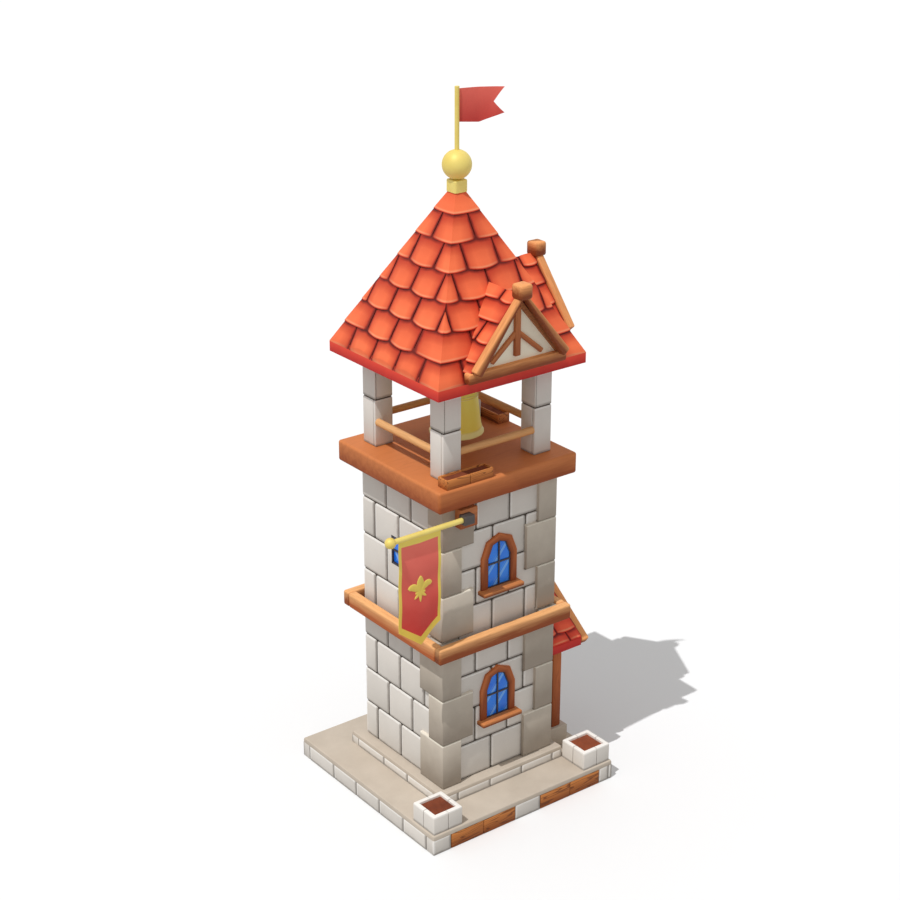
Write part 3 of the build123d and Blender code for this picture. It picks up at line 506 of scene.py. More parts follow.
# A slanting board that meets its neighbour in a mitre on the middle plane.
def mitred(board, axis, hand, shift):
    rings, grain = beamRings(*board)
    rings[..., axis] = np.where(rings[..., axis] * hand < 0, 0.0, rings[..., axis])
    return rings, grain + shift


def joinBeams(name, made, finish, slot, over=(), turn=0):
    rings, grain = (np.concatenate(part) for part in zip(*made))
    return ringMesh(name, turnedAbout(rings, turn), finish, slot, over, grain=grain)


def beams(name, ends, finish, slot, over=(), turn=0):
    made = [(rings, grain + i * 3.7) for i, (rings, grain) in enumerate(beamRings(*one) for one in ends)]
    return joinBeams(name, made, finish, slot, over, turn)


# Faces of two grids of points, one over the other, closed by a wall round their rims.
def sheetFaces(rows, columns):
    size = rows * columns
    index = np.arange(size).reshape(rows, columns)
    quads = np.stack([index[:-1, :-1], index[:-1, 1:], index[1:, 1:], index[1:, :-1]], -1).reshape(-1, 4)
    rim = np.concatenate([index[0, :-1], index[:-1, -1], index[-1, :0:-1], index[:0:-1, 0]])
    after = np.roll(rim, -1)
    walls = np.stack([rim, rim + size, after + size, after], -1)
    return np.concatenate([quads, quads[:, ::-1] + size, walls]).tolist()


# A node that is seen as it is takes a finish of its own.
def dress(finish, *names):
    for name in names:
        nodes[name].data.materials.clear()
        nodes[name].data.materials.append(finish)


def middleOf(node):
    low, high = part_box(node)
    return low, high, (low + high) / 2


# An opening cut through the stones of a wall, from well behind them to in front of them.
def openIn(piece, outline, place, back=-0.5, front=0.1):
    rings = placed(slabRings(outline, back, front), place)
    cutter = ringMesh("opening_cutter", rings, mortar, body=None)
    change = piece.modifiers.new("opening", "BOOLEAN")
    change.object = cutter
    change.operation = "DIFFERENCE"
    change.solver = "EXACT"
    graph = bpy.context.evaluated_depsgraph_get()
    cut = bpy.data.meshes.new_from_object(piece.evaluated_get(graph), preserve_all_data_layers=True,
                                          depsgraph=graph)
    piece.modifiers.clear()
    piece.data = cut
    cut.set_sharp_from_angle(angle=math.radians(sharpAngle))
    bpy.data.objects.remove(cutter)


# A joint bed: the frame's own node, merged, with its outer faces drawn back to a depth behind the stones.
def drawnBack(name, node, limit):
    mesh = nodes[node].data.copy()
    work = bmesh.new()
    work.from_mesh(mesh)
    bmesh.ops.remove_doubles(work, verts=work.verts, dist=0.0001)
    work.to_mesh(mesh)
    work.free()
    place = np.zeros(len(mesh.vertices) * 3, np.float32)
    mesh.vertices.foreach_get("co", place)
    place = place.reshape(-1, 3)
    place[:, :2] = np.clip(place[:, :2], -limit, limit)
    mesh.vertices.foreach_set("co", place.ravel())
    mesh.materials.clear()
    mesh.materials.append(mortar)
    piece = addObject(name, mesh)
    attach(piece, "tower")
    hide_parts(node)


# Spans of stones from left to right, a stone long where they can be: half a joint is taken off at each seam,
# and endGap at either end.
def stoneSpans(left, right, first, joint, margin, endGap):
    seams = first + stoneLength * np.arange(-9, 10)
    cuts = [left, *seams[(seams > left + margin) & (seams < right - margin)], right]
    return [(start + (joint / 2 if start > left else endGap), end - (joint / 2 if end < right else endGap))
            for start, end in pairs(cuts)]


# Faceted arch from its left foot over the point to its right foot.
def archOutline(half, spring, shoulderHalf, shoulder, height):
    return np.array([(-half, 0), (-half, spring), (-shoulderHalf, shoulder), (0, height),
                     (shoulderHalf, shoulder), (half, spring), (half, 0)])


# Arches of the windows and of the door, drawn in from the outer edge.
windowShape = {"half": 0.57, "spring": 0.865, "shoulderHalf": 0.402, "shoulder": 1.3, "height": 1.465,
               "casing": 0.2, "proud": 0.07, "glassBack": 0.015, "bar": 0.046, "transom": 0.659,
               "sill": (-0.65, 0.65, -0.11, 0.0, -0.05, 0.28)}
doorShape = {"half": 0.525, "spring": 1.65, "height": 2.15, "casing": 0.13, "proud": 0.07, "leafBack": 0.08,
             "planks": 6, "straps": (0.35, 1.35), "handle": (0.31, 0.98)}


def windowArch(inset):
    w = windowShape
    return archOutline(w["half"] - inset, w["spring"] - 0.2 * inset, w["shoulderHalf"] - 0.9 * inset,
                       w["shoulder"] - 0.55 * inset, w["height"] - inset)


def doorArch(inset):
    d = doorShape
    shoulder = d["spring"] + 0.7 * (d["height"] - d["spring"])
    return archOutline(d["half"] - inset, d["spring"], 0.7 * d["half"] - 0.9 * inset, shoulder - 0.55 * inset,
                       d["height"] - inset)


# A moulding: the section's (inset, out) points carried from station to station of the arch.
def archMoulding(name, arch, section, place, finish, slot, over=()):
    lines = [np.column_stack([arch(inset), np.full(7, level)]) for inset, level in section]
    rings = np.stack(lines, 1)[None]
    steps = np.linalg.norm(np.diff(arch(section[0][0]), axis=0), axis=1)
    run = np.concatenate([[0], np.cumsum(steps)])
    grain = np.concatenate([np.broadcast_to(run[:, None, None], (7, len(section), 1)),
                            np.broadcast_to(section, (7, len(section), 2))], -1)
    return ringMesh(name, placed(rings, place), finish, slot, over, grain=grain, sharp=20)


windowPlaces = {name: facing("front", level=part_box(f"window_front_{name}")[0].z + 0.11)
                for name in ("lower", "upper")}
doorPlace = facing("right", level=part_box("doorstep")[1].z)
slitLow, slitHigh = (corner.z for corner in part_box("window_left"))
slitHalf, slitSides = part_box("window_left")[1].y, ("left", "back")

# Walls: each course is cut at every stone length, and each next course is shifted by half a stone.
wallShape = {"joint": 0.04, "bevel": 0.03, "corner": 0.055, "depth": 0.3, "jointDepth": 0.035,
             "shortest": 0.36,
             "courses": (wallFoot, 1.9075, 2.94, 3.9725, 4.955, 5.938, 6.979, 8.024, wallTop),
             "firstSeam": {"front": -0.17, "left": -0.14, "back": 0.17, "right": 0.14}}
for side, first in wallShape["firstSeam"].items():
    w, limits = wallShape, []
    for course, (low, high) in enumerate(pairs(w["courses"])):
        seam = first + (stoneLength / 2 if course % 2 else 0)
        for span in stoneSpans(-wallHalf, wallHalf, seam, w["joint"], w["shortest"], 0.003):
            limits.append([*span, low + w["joint"] / 2, high - w["joint"] / 2, -w["depth"], 0])
    stones = layBlocks(f"stones_{side}", limits, facing(side), wallStone, "wall_stone", w["corner"],
                       w["bevel"])
    if side == "front":
        for place in windowPlaces.values():
            openIn(stones, windowArch(0.09), place)
    if side in slitSides:
        edge, low, high = slitHalf - 0.005, slitLow + 0.005, slitHigh - 0.005
        openIn(stones, [(-edge, low), (edge, low), (edge, high), (-edge, high)], facing(side))
    if side == "right":
        openIn(stones, doorArch(-0.02), doorPlace)
    drawnBack(f"joints_{side}", f"{side}_wall", wallHalf - w["jointDepth"])
print("walls laid")

# Quoins: an L round each front corner, in every course long one way and short the other, and a short one
# beside the ring beam.
quoinShape = {"face": 1.845, "long": 0.98, "short": 0.6, "perStorey": 3, "bevel": 0.03, "back": 0.25,
              "soft": 0.035, "beamFace": 1.909, "beamBevel": 0.005, "beamDrop": 0.06, "foot": 0.004}


def quoinRings(side, low, high, front, flank, face, bevel):
    back, soft, low = wallHalf - quoinShape["back"], quoinShape["soft"], low + quoinShape["foot"]
    rings = []
    for inset, level in ((bevel, low), (bevel * 0.3, low + bevel * 0.3), (0, low + bevel),
                         (0, high - bevel), (bevel * 0.3, high - bevel * 0.3), (bevel, high)):
        edge = face - inset
        outline = [(edge - front, -edge), (edge - soft, -edge), (edge - soft * 0.3, -edge + soft * 0.3),
                   (edge, -edge + soft), (edge, flank - edge), (back, flank - edge), (back, -back),
                   (edge - front, -back)]
        rings.append([(side * x, y, level) for x, y in outline])
    return rings


q, rings, heights = quoinShape, [], []
courses = [span for storey in ((wallFoot, beamLow), (beamTop, wallTop))
           for span in pairs(np.linspace(*storey, q["perStorey"] + 1))]
for side, longFirst in ((-1, False), (1, True)):
    for index, (low, high) in enumerate(courses):
        front, flank = (q["long"], q["short"]) if (index % 2 == 0) == longFirst else (q["short"], q["long"])
        rings.append(quoinRings(side, low, high, front, flank, q["face"], q["bevel"]))
        heights.append((low, high))
    rings.append(quoinRings(side, beamLow, beamTop - q["beamDrop"], q["short"], q["short"], q["beamFace"],
                            q["beamBevel"]))
    heights.append((beamLow - 1, beamTop))
rings, (low, high) = np.array(rings), np.array(heights).T[..., None, None]
maps = heightMaps(rings[..., 2], low, high, 0.35, 1.0, dice.random((len(rings), 1, 1, 2)))
ringMesh("quoins", rings, quoinStone, "quoin_stone", ["quoins_left", "quoins_right"], maps=maps)
print("quoins laid")


# A step of the base: a slab with a rounded upper edge, and one course of stones under it round a drawn-back
# bed.
def steppedCourse(name, foot, top, slab, soft, spans):
    half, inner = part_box(name)[1].x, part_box(name)[1].x - 0.025
    layBlocks(f"{name}_slab", [[-half, half, -half, half, top - slab, top]], standing(), pavingStone, "stone",
              soft, soft, over=[name])
    layBlocks(f"{name}_bed", [[-inner, inner, -inner, inner, foot, top - slab + 0.01]], standing(), mortar,
              "stone", 0.03, 0.005)
    rings, maps = [], []
    for side, ends in spans.items():
        limits = [[*span, foot, top - slab, -baseShape["depth"], 0] for span in ends]
        local = blockRings(limits, 0.02, 0.014, False)
        maps.append(blockMaps(local, limits))
        rings.append(placed(local, facing(side, half)))
    maps = {key: np.concatenate([one[key] for one in maps]) for key in maps[0]}
    ringMesh(f"{name}_stones", np.concatenate(rings), wallStone, "wall_stone", maps=maps)


# Seams of a step: on the left and the right the stones stand between those of the front and the back.
def stepSpans(half, first, inset=0.0):
    joint = baseShape["joint"]
    return stoneSpans(inset - half, half - inset, first, joint, 0.15, joint / 2 if inset else 0.0)


baseShape = {"joint": 0.02, "depth": 0.3, "platformSlab": 0.12, "plinthSlab": 0.1,
             "boards": ((-2.452, -0.36), (0.51, 2.56)), "lastStone": 2.91, "boardJoint": 0.016,
             "boardDepth": 0.2}
joint, inside = baseShape["joint"], baseShape["depth"] + baseShape["joint"]
half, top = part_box("platform")[1].x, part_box("platform")[1].z
(leftStart, leftEnd), (rightStart, rightEnd) = baseShape["boards"]
frontStones = [(-half, leftStart - joint), (leftEnd + joint, rightStart - joint),
               (rightEnd + joint, baseShape["lastStone"] - joint / 2),
               (baseShape["lastStone"] + joint / 2, half)]
steppedCourse("platform", 0.0, top, baseShape["platformSlab"], 0.045, {
    "front": frontStones, "left": stepSpans(half, -0.441, inside), "back": stepSpans(half, 0.17),
    "right": stepSpans(half, 0.441, inside)})
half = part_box("plinth")[1].x
steppedCourse("plinth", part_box("plinth")[0].z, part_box("plinth")[1].z, baseShape["plinthSlab"], 0.035, {
    "front": stepSpans(half, -0.416), "left": stepSpans(half, -0.52, inside), "back": stepSpans(half, 0.416),
    "right": stepSpans(half, 0.52, inside)})
boards, gap = [], baseShape["boardJoint"] / 2
for low, high in baseShape["boards"]:
    middle = (low + high) / 2
    rest = (0.004, top - baseShape["platformSlab"] - 0.012, -baseShape["boardDepth"], 0.0)
    boards += [[low, middle - gap, *rest], [middle + gap, high, *rest]]
layBlocks("platform_boards", boards, facing("front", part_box("platform")[1].x), boxTimber, "box_timber", 0.012,
          0.01)
dress(pavingStone, "doorstep")
print("base laid")

# Planters: a quarter is an L of stone round its corner, outlined at each level and drawn in at the rim.
planterShape = {"wall": 0.12, "drop": 0.07, "joint": 0.02, "soft": 0.03, "lip": 0.028}


def planterQuarter(node, toX, toY):
    (low, high, middle), p = middleOf(node), planterShape
    size, gap = (high.x - low.x) / 2, p["joint"] / 2
    rings = []
    for inset, level in ((0, low.z), (0, high.z - p["lip"]), (0.008, high.z - 0.008), (p["lip"], high.z)):
        edge, soft, rim = size - inset, p["soft"], size - p["wall"] + inset * 0.4
        outline = [(gap, edge), (edge - soft, edge), (edge - soft * 0.3, edge - soft * 0.3),
                   (edge, edge - soft), (edge, gap), (rim, gap), (rim, rim), (gap, rim)]
        rings.append([(middle.x + toX * x, middle.y + toY * y, level) for x, y in outline])
    return rings


# Soil: a grid whose height is a low dome with two crossing waves, closed by a flat underside.
def soilBed(name, centre, halfX, halfY, level, rise):
    u, v = np.meshgrid(np.linspace(-1, 1, 25), np.linspace(-1, 1, 17))
    dome = (1 - u ** 4) * (1 - v ** 4)
    waves, grit = 0.3 * np.sin(9 * u + 3 * v) * np.cos(7 * v - 2 * u), 0.004 * np.sin(31 * u) * np.sin(27 * v)
    height = level + rise * dome * (0.7 + waves) + grit * dome
    top = np.stack([centre[0] + halfX * u, centre[1] + halfY * v, height], -1)
    base = np.concatenate([top[..., :2], np.full((*u.shape, 1), level - 0.02)], -1)
    finishMesh(name, np.concatenate([top, base]), sheetFaces(*u.shape), soil, sharp=60)


planters = ("planter_left", "planter_right")
for node in planters:
    low, high, middle = middleOf(node)
    rings = np.array([planterQuarter(node, toX, toY) for toX in (-1, 1) for toY in (-1, 1)])
    maps = heightMaps(rings[..., 2], low.z, high.z, 0.35, 0.42, dice.random((4, 1, 1, 2)) * 0.5)
    ringMesh(f"{node}_stones", rings, wallStone, "wall_stone", [node], maps=maps)
    half = (high.x - low.x) / 2 - 0.03
    layBlocks(f"{node}_bed", [[-half, half, -half, half, low.z, high.z - 0.1]], standing(middle.x, middle.y),
              mortar, "stone", 0.01, 0.004)
for node in planters:
    low, high, middle = middleOf(node)
    half = (high.x - low.x) / 2 - planterShape["wall"] + 0.004
    soilBed(f"{node}_soil", middle, half, half, high.z - planterShape["drop"], 0.05)

# Deck boxes: two boards along each long side and one at each end, filled with soil.
boxWall, boxJoint = 0.045, 0.012
for node in ("deck_box_front", "deck_box_right"):
    low, high, middle = middleOf(node)
    halfX, halfY, tall = (high.x - low.x) / 2, (high.y - low.y) / 2, high.z - low.z
    long, wide, gap = max(halfX, halfY), min(halfX, halfY), boxJoint / 2
    longSides, ends = ([(-half, boxWall - half), (half - boxWall, half)] for half in (wide, long))
    walls = [[*run, *side, 0, tall] for run in ((gap - long, -gap), (gap, long - gap)) for side in longSides]
    walls += [[*end, boxWall - wide, wide - boxWall, 0, tall] for end in ends]
    local = blockRings(walls, 0.012, 0.012, False)
    run, across = ((1, 0, 0), (0, 1, 0)) if halfX > halfY else ((0, 1, 0), (-1, 0, 0))
    place = ((middle.x, middle.y, low.z), run, across, (0, 0, 1))
    ringMesh(f"{node}_boards", placed(local, place), boxTimber, "box_timber", [node],
             grain=local + dice.random((len(walls), 1, 1, 3)) * 7)
    soilBed(f"{node}_soil", middle, halfX - 0.04, halfY - 0.04, high.z - 0.055, 0.04)
print("planters filled")

# Belfry pillars: two stones, each with a narrow slip beside the larger block.
pillarShape = {"size": 0.545, "joint": 0.03, "level": 10.835, "slips": (0.095, 0.045), "gap": 0.006,
               "bevel": 0.022}
for node in ("pillar_front_left", "pillar_front_right", "pillar_back_left", "pillar_back_right"):
    (low, high, middle), p = middleOf(node), pillarShape
    half, gap, core = p["size"] / 2, p["gap"], p["size"] / 2 - 0.02
    lower = [low.z + 0.004, p["level"] - p["joint"] / 2]
    upper = [p["level"] + p["joint"] / 2, high.z]
    across, along = (size - half for size in p["slips"])
    limits = np.array([[-half, half, -half, across - gap, *lower], [-half, half, across + gap, half, *lower],
                       [-half, along - gap, -half, half, *upper], [along + gap, half, -half, half, *upper]])
    local = blockRings(limits, 0.02, p["bevel"])
    maps = heightMaps(local[..., 2], *limits[:, 4:].T[..., None, None], 0.5, 0.5,
                      np.repeat(dice.random((2, 1, 1, 2)) * 0.6, 2, 0))
    ringMesh(f"{node}_stones", placed(local, standing(middle.x, middle.y)), wallStone, "wall_stone", [node],
             maps=maps)
    layBlocks(f"{node}_bed", [[-core, core, -core, core, low.z, high.z]], standing(middle.x, middle.y),
              mortar, "stone", 0.01, 0.004)

dress(timberX, "ring_beam_front", "ring_beam_back")
dress(timberY, "ring_beam_left", "ring_beam_right")
dress(railX, "rail_front", "rail_back")
dress(railY, "rail_left", "rail_right")
dress(deckTimber, "belfry_deck", "upper_floor")
dress(frameTimber, "bell_frame", "headstock", "dormer_front_roof", "dormer_right_roof")
dress(iron, "clapper")
dress(bellMetal, "bell")
dress(gold, "finial")
dress(eavesRed, "roof_front", "roof_back", "roof_left", "roof_right")
dress(porchRed, "porch_roof")
print("frame nodes dressed")

# Bell: beads above the flared band and under the shoulder, each a half circle that stands out from the bell,
# and iron straps on the headstock. Each bead is a radius, a level over the lip, a height and how far it
# stands out.
beads = ((0.637, 0.14, 0.036, 0.018), (0.5475, 1.0, 0.024, 0.01), (0.5375, 1.06, 0.024, 0.01))
angle = np.radians(np.linspace(-90, 90, 7))
turn = np.linspace(0, 2 * np.pi, 72, endpoint=False)[:, None]
rings = []
for radius, level, height, out in beads:
    bulge = np.stack([radius + out * np.cos(angle), height / 2 * np.sin(angle)], -1)
    section = np.concatenate([bulge, [[radius - 0.03, height / 2], [radius - 0.03, -height / 2]]])
    rings.append(np.stack([section[:, 0] * np.cos(turn), section[:, 0] * np.sin(turn),
                           bellLip + level + section[:, 1] + 0 * turn], -1))
ringMesh("bell_beads", np.stack(rings), bellBead, "bell_metal", joined=True, body="swinging_bell")
headLevel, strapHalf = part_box("headstock")[1].z, 0.04
straps = [[x - strapHalf, x + strapHalf, -0.132, 0.132, headLevel - 0.28, headLevel + 0.012]
          for x in (-0.62, -0.2, 0.2, 0.62)]
layBlocks("headstock_straps", straps, standing(), iron, "iron", 0.01, 0.006, True, body="swinging_bell")
print("bell dressed")

tileShape = {"width": 0.9625, "rise": 0.678, "first": 0.625, "hump": 0.03, "lift": 0.045, "thick": 0.03,
             "drop": 0.08, "lap": 0.09, "gap": 0.026, "hipMin": 0.2, "hipShare": 0.3, "tip": 0.04,
             "hipFade": 0.8, "hipLow": 0.33, "seamShadeBed": 0.004}


# Height of a tile's arch, with s across the tile from 0 to 1: 1 - (2s - 1)^2. Tiles cut by a hip are flatter.
def archAt(across):
    return 1 - (2 * across - 1) ** 2


# Tiles: a lengthwise section carried across each tile, from its back over the lip and along the underside.
# The arch raises the section by hump and lowers its lip by drop; near a hip the section settles to a third of
# its height.
def tileRings(tiles, limit, ridge=None, hips=False):
    columns = np.array(tiles, float).T[..., None, None]
    left, right, low, high, lift, thick, hump, drop, hipLeft, hipRight = columns
    hipLeft, hipRight, flat = hipLeft > 0, hipRight > 0, lift <= 0.001
    across = np.linspace(0, 1, 9)[None, :, None]
    arch = archAt(across)
    length, lip = high - low + drop * arch, low - drop * arch
    run = np.array([1.0, 0.66, 0.33, 0.0, 0.0, 0.0, 0.0, 0.0, 0.5, 1.0])
    ahead = np.array([0, 0, 0, 1.9, 0.75, 0.12, 0.0, 0.3, 0, 0]) * 0.03
    level = np.array([1.0, 1.0, 1.0, 1.0, 0.93, 0.62, 0.3, 0.0, 0.0, 0.0])
    along = np.where(run > 0, run * length, ahead)
    height = lift * (1 - np.clip(along / length, 0, 1)) + thick * level + hump * arch
    if hips:
        bound = limit(lip + along, tileShape["tip"])
        start, end = np.where(hipLeft, -bound, left), np.where(hipRight, bound, right)
        near = np.clip((bound - np.abs(start + across * (end - start))) / tileShape["hipFade"], 0, 1)
        height = height * (tileShape["hipLow"] + (1 - tileShape["hipLow"]) * near)
    atLip = flat & (run <= 0)
    along = np.where(atLip, height * math.tan(roofPitch), along)
    height = np.where(flat & (level <= 0.0), 0.0, height)
    along = np.where(atLip & (level <= 0.0), 0.0, along)
    climb = lip + along
    if ridge is not None:
        climb = np.minimum(climb, ridge(height))
    bound = limit(climb, height)
    start, end = np.where(hipLeft, -bound, left), np.where(hipRight, bound, right)
    x = np.clip(start + across * (end - start), -bound, bound)
    # Near a hip the map across is held towards the middle of the tile, so no painted seam shade runs along the
    # hip.
    sideways = np.where(hipLeft, 0.5 + across / 2, across) * np.where(hipRight, 0.5, 1.0)
    sideways = np.where(hipLeft & hipRight, 0.5, sideways)
    fromLip = np.where(level < 0.9, -0.04 * (1 - level), along)
    fromLip = np.where(flat, np.maximum(along, 0.06), fromLip)
    return np.stack([x, climb, height + 0 * x], -1), np.stack([sideways + 0 * x, fromLip + 0 * x], -1)


# Distance below the lip of the course above, whose seams stand at "cuts"; the tile finish paints that lip's
# shadow by it.
def belowNext(local, nextLow, cuts, drop, hips):
    if len(cuts) < 2:
        return np.ones(local.shape[:-1])
    cuts = np.asarray(cuts)
    index = np.clip(np.searchsorted(cuts, local[..., 0]) - 1, 0, len(cuts) - 2)
    across = np.clip((local[..., 0] - cuts[index]) / (cuts[index + 1] - cuts[index]), 0, 1)
    atHip = hips & ((index == 0) | (index == len(cuts) - 2))
    return nextLow - np.where(atHip, drop * tileShape["hipShare"], drop) * archAt(across) - local[..., 1]


# One slope of tiles; "above" holds, for each tile, the low edge, seams and drop of the course over it.
def layTiles(name, tiles, above, limit, place, turn=0, ridge=None, hips=False, finish=roofTile):
    local, spot = tileRings(tiles, limit, ridge, hips)
    below = np.stack([belowNext(one, *over, hips) for one, over in zip(local, above)])
    # A slope that ends at a gable starts just behind its boards.
    if not hips:
        local[..., 0] = np.maximum(local[..., 0], 0.004)
    tone = np.stack([np.broadcast_to(dice.random((len(tiles), 1, 1)), below.shape), below], -1)
    ringMesh(name, turnedAbout(placed(local, place), turn), finish, "tile", maps={"spot": spot, "tone": tone},
             sharp=40)


# Half the width of the main roof's slope, at a distance up it and a height over it.
def hipLimit(climb, height):
    return eaveHalf - climb * math.cos(roofPitch) + height * math.sin(roofPitch)


t = tileShape
roofLength = (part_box("roof_front")[1].z - eaveTop) / math.sin(roofPitch)
roofEdges = [0.0, *(t["first"] + t["rise"] * i for i in range(6)), roofLength]
roofCuts = []
for course, low in enumerate(roofEdges[:-1]):
    reach = eaveHalf - low * math.cos(roofPitch)
    seams = (t["width"] / 2 if course % 2 == 0 else 0.0) + t["width"] * np.arange(-4, 4)
    seams = seams[np.abs(seams) < reach - t["hipMin"]] if course < 6 else ()
    roofCuts.append([-reach, *seams, reach])
roofPlace = ((0, -eaveHalf, eaveTop), (1, 0, 0), (0, math.cos(roofPitch), math.sin(roofPitch)),
             (0, -math.sin(roofPitch), math.cos(roofPitch)))
bedCorners = ((-1, 0.12), (1, 0.12), (1, roofLength), (-1, roofLength))
bedOutline = [(hand * hipLimit(climb, t["seamShadeBed"]), climb) for hand, climb in bedCorners]
for turn, side in ((0, "front"), (90, "right"), (180, "back"), (270, "left")):
    tiles, above = [], []
    for course, (low, high) in enumerate(pairs(roofEdges)):
        cuts, last = roofCuts[course], len(roofCuts[course]) - 2
        lift, drop, thick = (t["lift"], t["drop"], t["thick"]) if course else (0.0, 0.0, 0.012)
        # Tiles that lie wholly under a dormer are left out.
        hidden = (1.747 - high * math.sin(roofPitch)) / math.tan(math.radians(50))
        for index, (start, end) in enumerate(pairs(cuts)):
            if side in ("front", "right") and max(abs(start), abs(end)) < hidden:
                continue
            atLeft, atRight = index == 0, index == last
            share = t["hipShare"] if atLeft or atRight else 1
            tiles.append([start + (0 if atLeft else t["gap"] / 2), end - (0 if atRight else t["gap"] / 2),
                          low, high + (t["lap"] if course < 6 else 0), lift, thick,
                          t["hump"] * (1 if course else 2) * share, drop * share, atLeft, atRight])
            above.append((high, roofCuts[course + 1] if course < 6 else [], t["drop"]))
    layTiles(f"tiles_{side}", tiles, above, hipLimit, roofPlace, turn, hips=True)
    # The dark bed under each slope shows as painted shade in the seams.
    bed = placed(slabRings(bedOutline, t["seamShadeBed"] - 0.02, t["seamShadeBed"]), roofPlace)
    ringMesh(f"tile_bed_{side}", turnedAbout(bed, turn), seamShadeBed, "tile")
print("main roof tiled")

# Dormers: two slopes of tiles, a gable of two slanting boards on a tie beam, a knob, and a post and struts on
# the infill.
dormerShape = {"front": 2.66, "apex": 2.125, "half": 1.46, "pitch": math.radians(50), "depth": 0.23,
               "timber": 0.25, "tieHalf": 1.5, "tieHigh": 0.278, "tieDepth": 0.25, "panelBack": 0.32,
               "knob": 0.385, "sink": 0.215, "drop": 0.048, "panelDrop": 0.163, "panelThick": 0.09,
               "kingLift": 0.142, "strutLift": 0.762, "strutRun": 0.775, "strutFall": 0.65, "knobBack": 0.115,
               "knobRise": 0.165, "knobFoot": 0.01}
d = dormerShape
peak, steep = eaveTop + d["apex"], (math.cos(d["pitch"]), math.sin(d["pitch"]))
roofPeak = peak - d["sink"]
foot = roofPeak - d["half"] * math.tan(d["pitch"])
slopeLength = d["half"] / steep[0]
gableBack = d["front"] - d["depth"]


def valleyLimit(climb, height):
    level = foot + climb * steep[1] + height * steep[0]
    return np.maximum(gableBack - (eaveHalf - (level - eaveTop) / math.tan(roofPitch)) + 0.04, 0.002)


def dormerRidge(height):
    return (d["half"] + height * steep[1]) / steep[0]


# Rows of tiles up the dormer's slope from its foot, and the seams of each row behind the gable.
dormerRows = (0.08, slopeLength - 1.88, slopeLength - 1.35, slopeLength - 0.78, slopeLength - 0.23,
              slopeLength + 0.3)
dormerSeams = ((), (), (0.49,), (), (0.49,))
dormerCuts = [[0.0, *seams, valleyLimit(low, 0) + 0.5] for low, seams in zip(dormerRows, dormerSeams)]
tiles, above = [], []
for course, (low, high) in enumerate(pairs(dormerRows)):
    lift, thick = (t["lift"] + 0.015, t["thick"]) if course else (0.02, 0.03)
    for start, end in pairs(dormerCuts[course]):
        tiles.append([start + t["gap"] / 2 * (start > 0), end - t["gap"] / 2, low,
                      high + (t["lap"] if course < 4 else 0), lift, thick,
                      t["hump"] * (0.8 if course < 4 else 0.5), d["drop"] if course else 0.0, 0, 0])
        above.append((high, dormerCuts[course + 1] if course < 4 else [], d["drop"]))
middle, tieLow = d["front"] - d["depth"] / 2, eaveTop + 0.02
tieTop, tieY = tieLow + d["tieHigh"], d["depth"] - 0.05 - d["front"] + d["tieDepth"] / 2
panelY, inner, panelLow = d["panelBack"] - d["front"], roofPeak - d["panelDrop"], tieLow + d["tieHigh"] / 2
panelHalf = (inner - panelLow) / math.tan(d["pitch"])
kingFoot, joinAt = tieTop + d["kingLift"], tieTop + d["strutLift"]
kingY, strutY = panelY - 0.03, panelY - 0.025
for turn, side in ((0, "front"), (90, "right")):
    boards = []
    for hand, label in ((-1, "left"), (1, "right")):
        place = ((hand * d["half"], -gableBack, foot), (0, 1, 0), (-hand * steep[0], 0, steep[1]),
                 (hand * steep[1], 0, steep[0]))
        layTiles(f"dormer_{side}_tiles_{label}", tiles, above, valleyLimit, place, turn, dormerRidge)
        slant = np.array([hand * steep[0], 0, -steep[1]])
        top = np.array([0, -middle, peak - d["timber"] / 2 / steep[0]])
        length = slopeLength - d["timber"] / 2 * math.tan(d["pitch"])
        board = (top - slant * 0.18, top + slant * length, d["timber"], d["depth"], (0, 0, 1), 0.055, 0.035)
        boards.append(mitred(board, 0, hand, hand * 3))
    tie, span = np.array([0, tieY, tieLow + d["tieHigh"] / 2]), np.array([d["tieHalf"], 0, 0])
    boards.append(beamRings(tie - span, tie + span, d["tieDepth"], d["tieHigh"], (0, 1, 0), 0.05, 0.045))
    joinBeams(f"dormer_{side}_timbers", boards, gableTimber, "timber", [f"dormer_{side}_gable"], turn)
    half = d["knob"] / 2
    local = blockRings([[-half, half, -half, half, roofPeak + d["knobFoot"], peak + d["knobRise"]]], 0.075,
                       0.055)
    rings = turnedAbout(local + [0, d["knobBack"] - d["front"], 0], turn)
    ringMesh(f"dormer_{side}_knob", rings, gableTimber, "timber", grain=local, sharp=50)
    panel = slabRings([(-panelHalf, panelLow), (panelHalf, panelLow), (0, inner)], panelY,
                      panelY + d["panelThick"])
    panel = turnedAbout(placed(panel, ((0, 0, 0), (1, 0, 0), (0, 0, 1), (0, 1, 0))), turn)
    ringMesh(f"dormer_{side}_infill", panel, plaster, "stone")
    sticks = [((0, kingY, kingFoot), (0, kingY, inner - 0.08), 0.17, 0.12, (1, 0, 0), 0.025, 0.02)]
    for hand in (-1, 1):
        strutFoot = (hand * d["strutRun"], strutY, joinAt - d["strutFall"])
        sticks.append(((hand * 0.02, strutY, joinAt - 0.02), strutFoot, 0.125, 0.1, (0, 0, 1), 0.025, 0.02))
    beams(f"dormer_{side}_struts", sticks, strutTimber, "dark_timber", turn=turn)
print("dormers built")

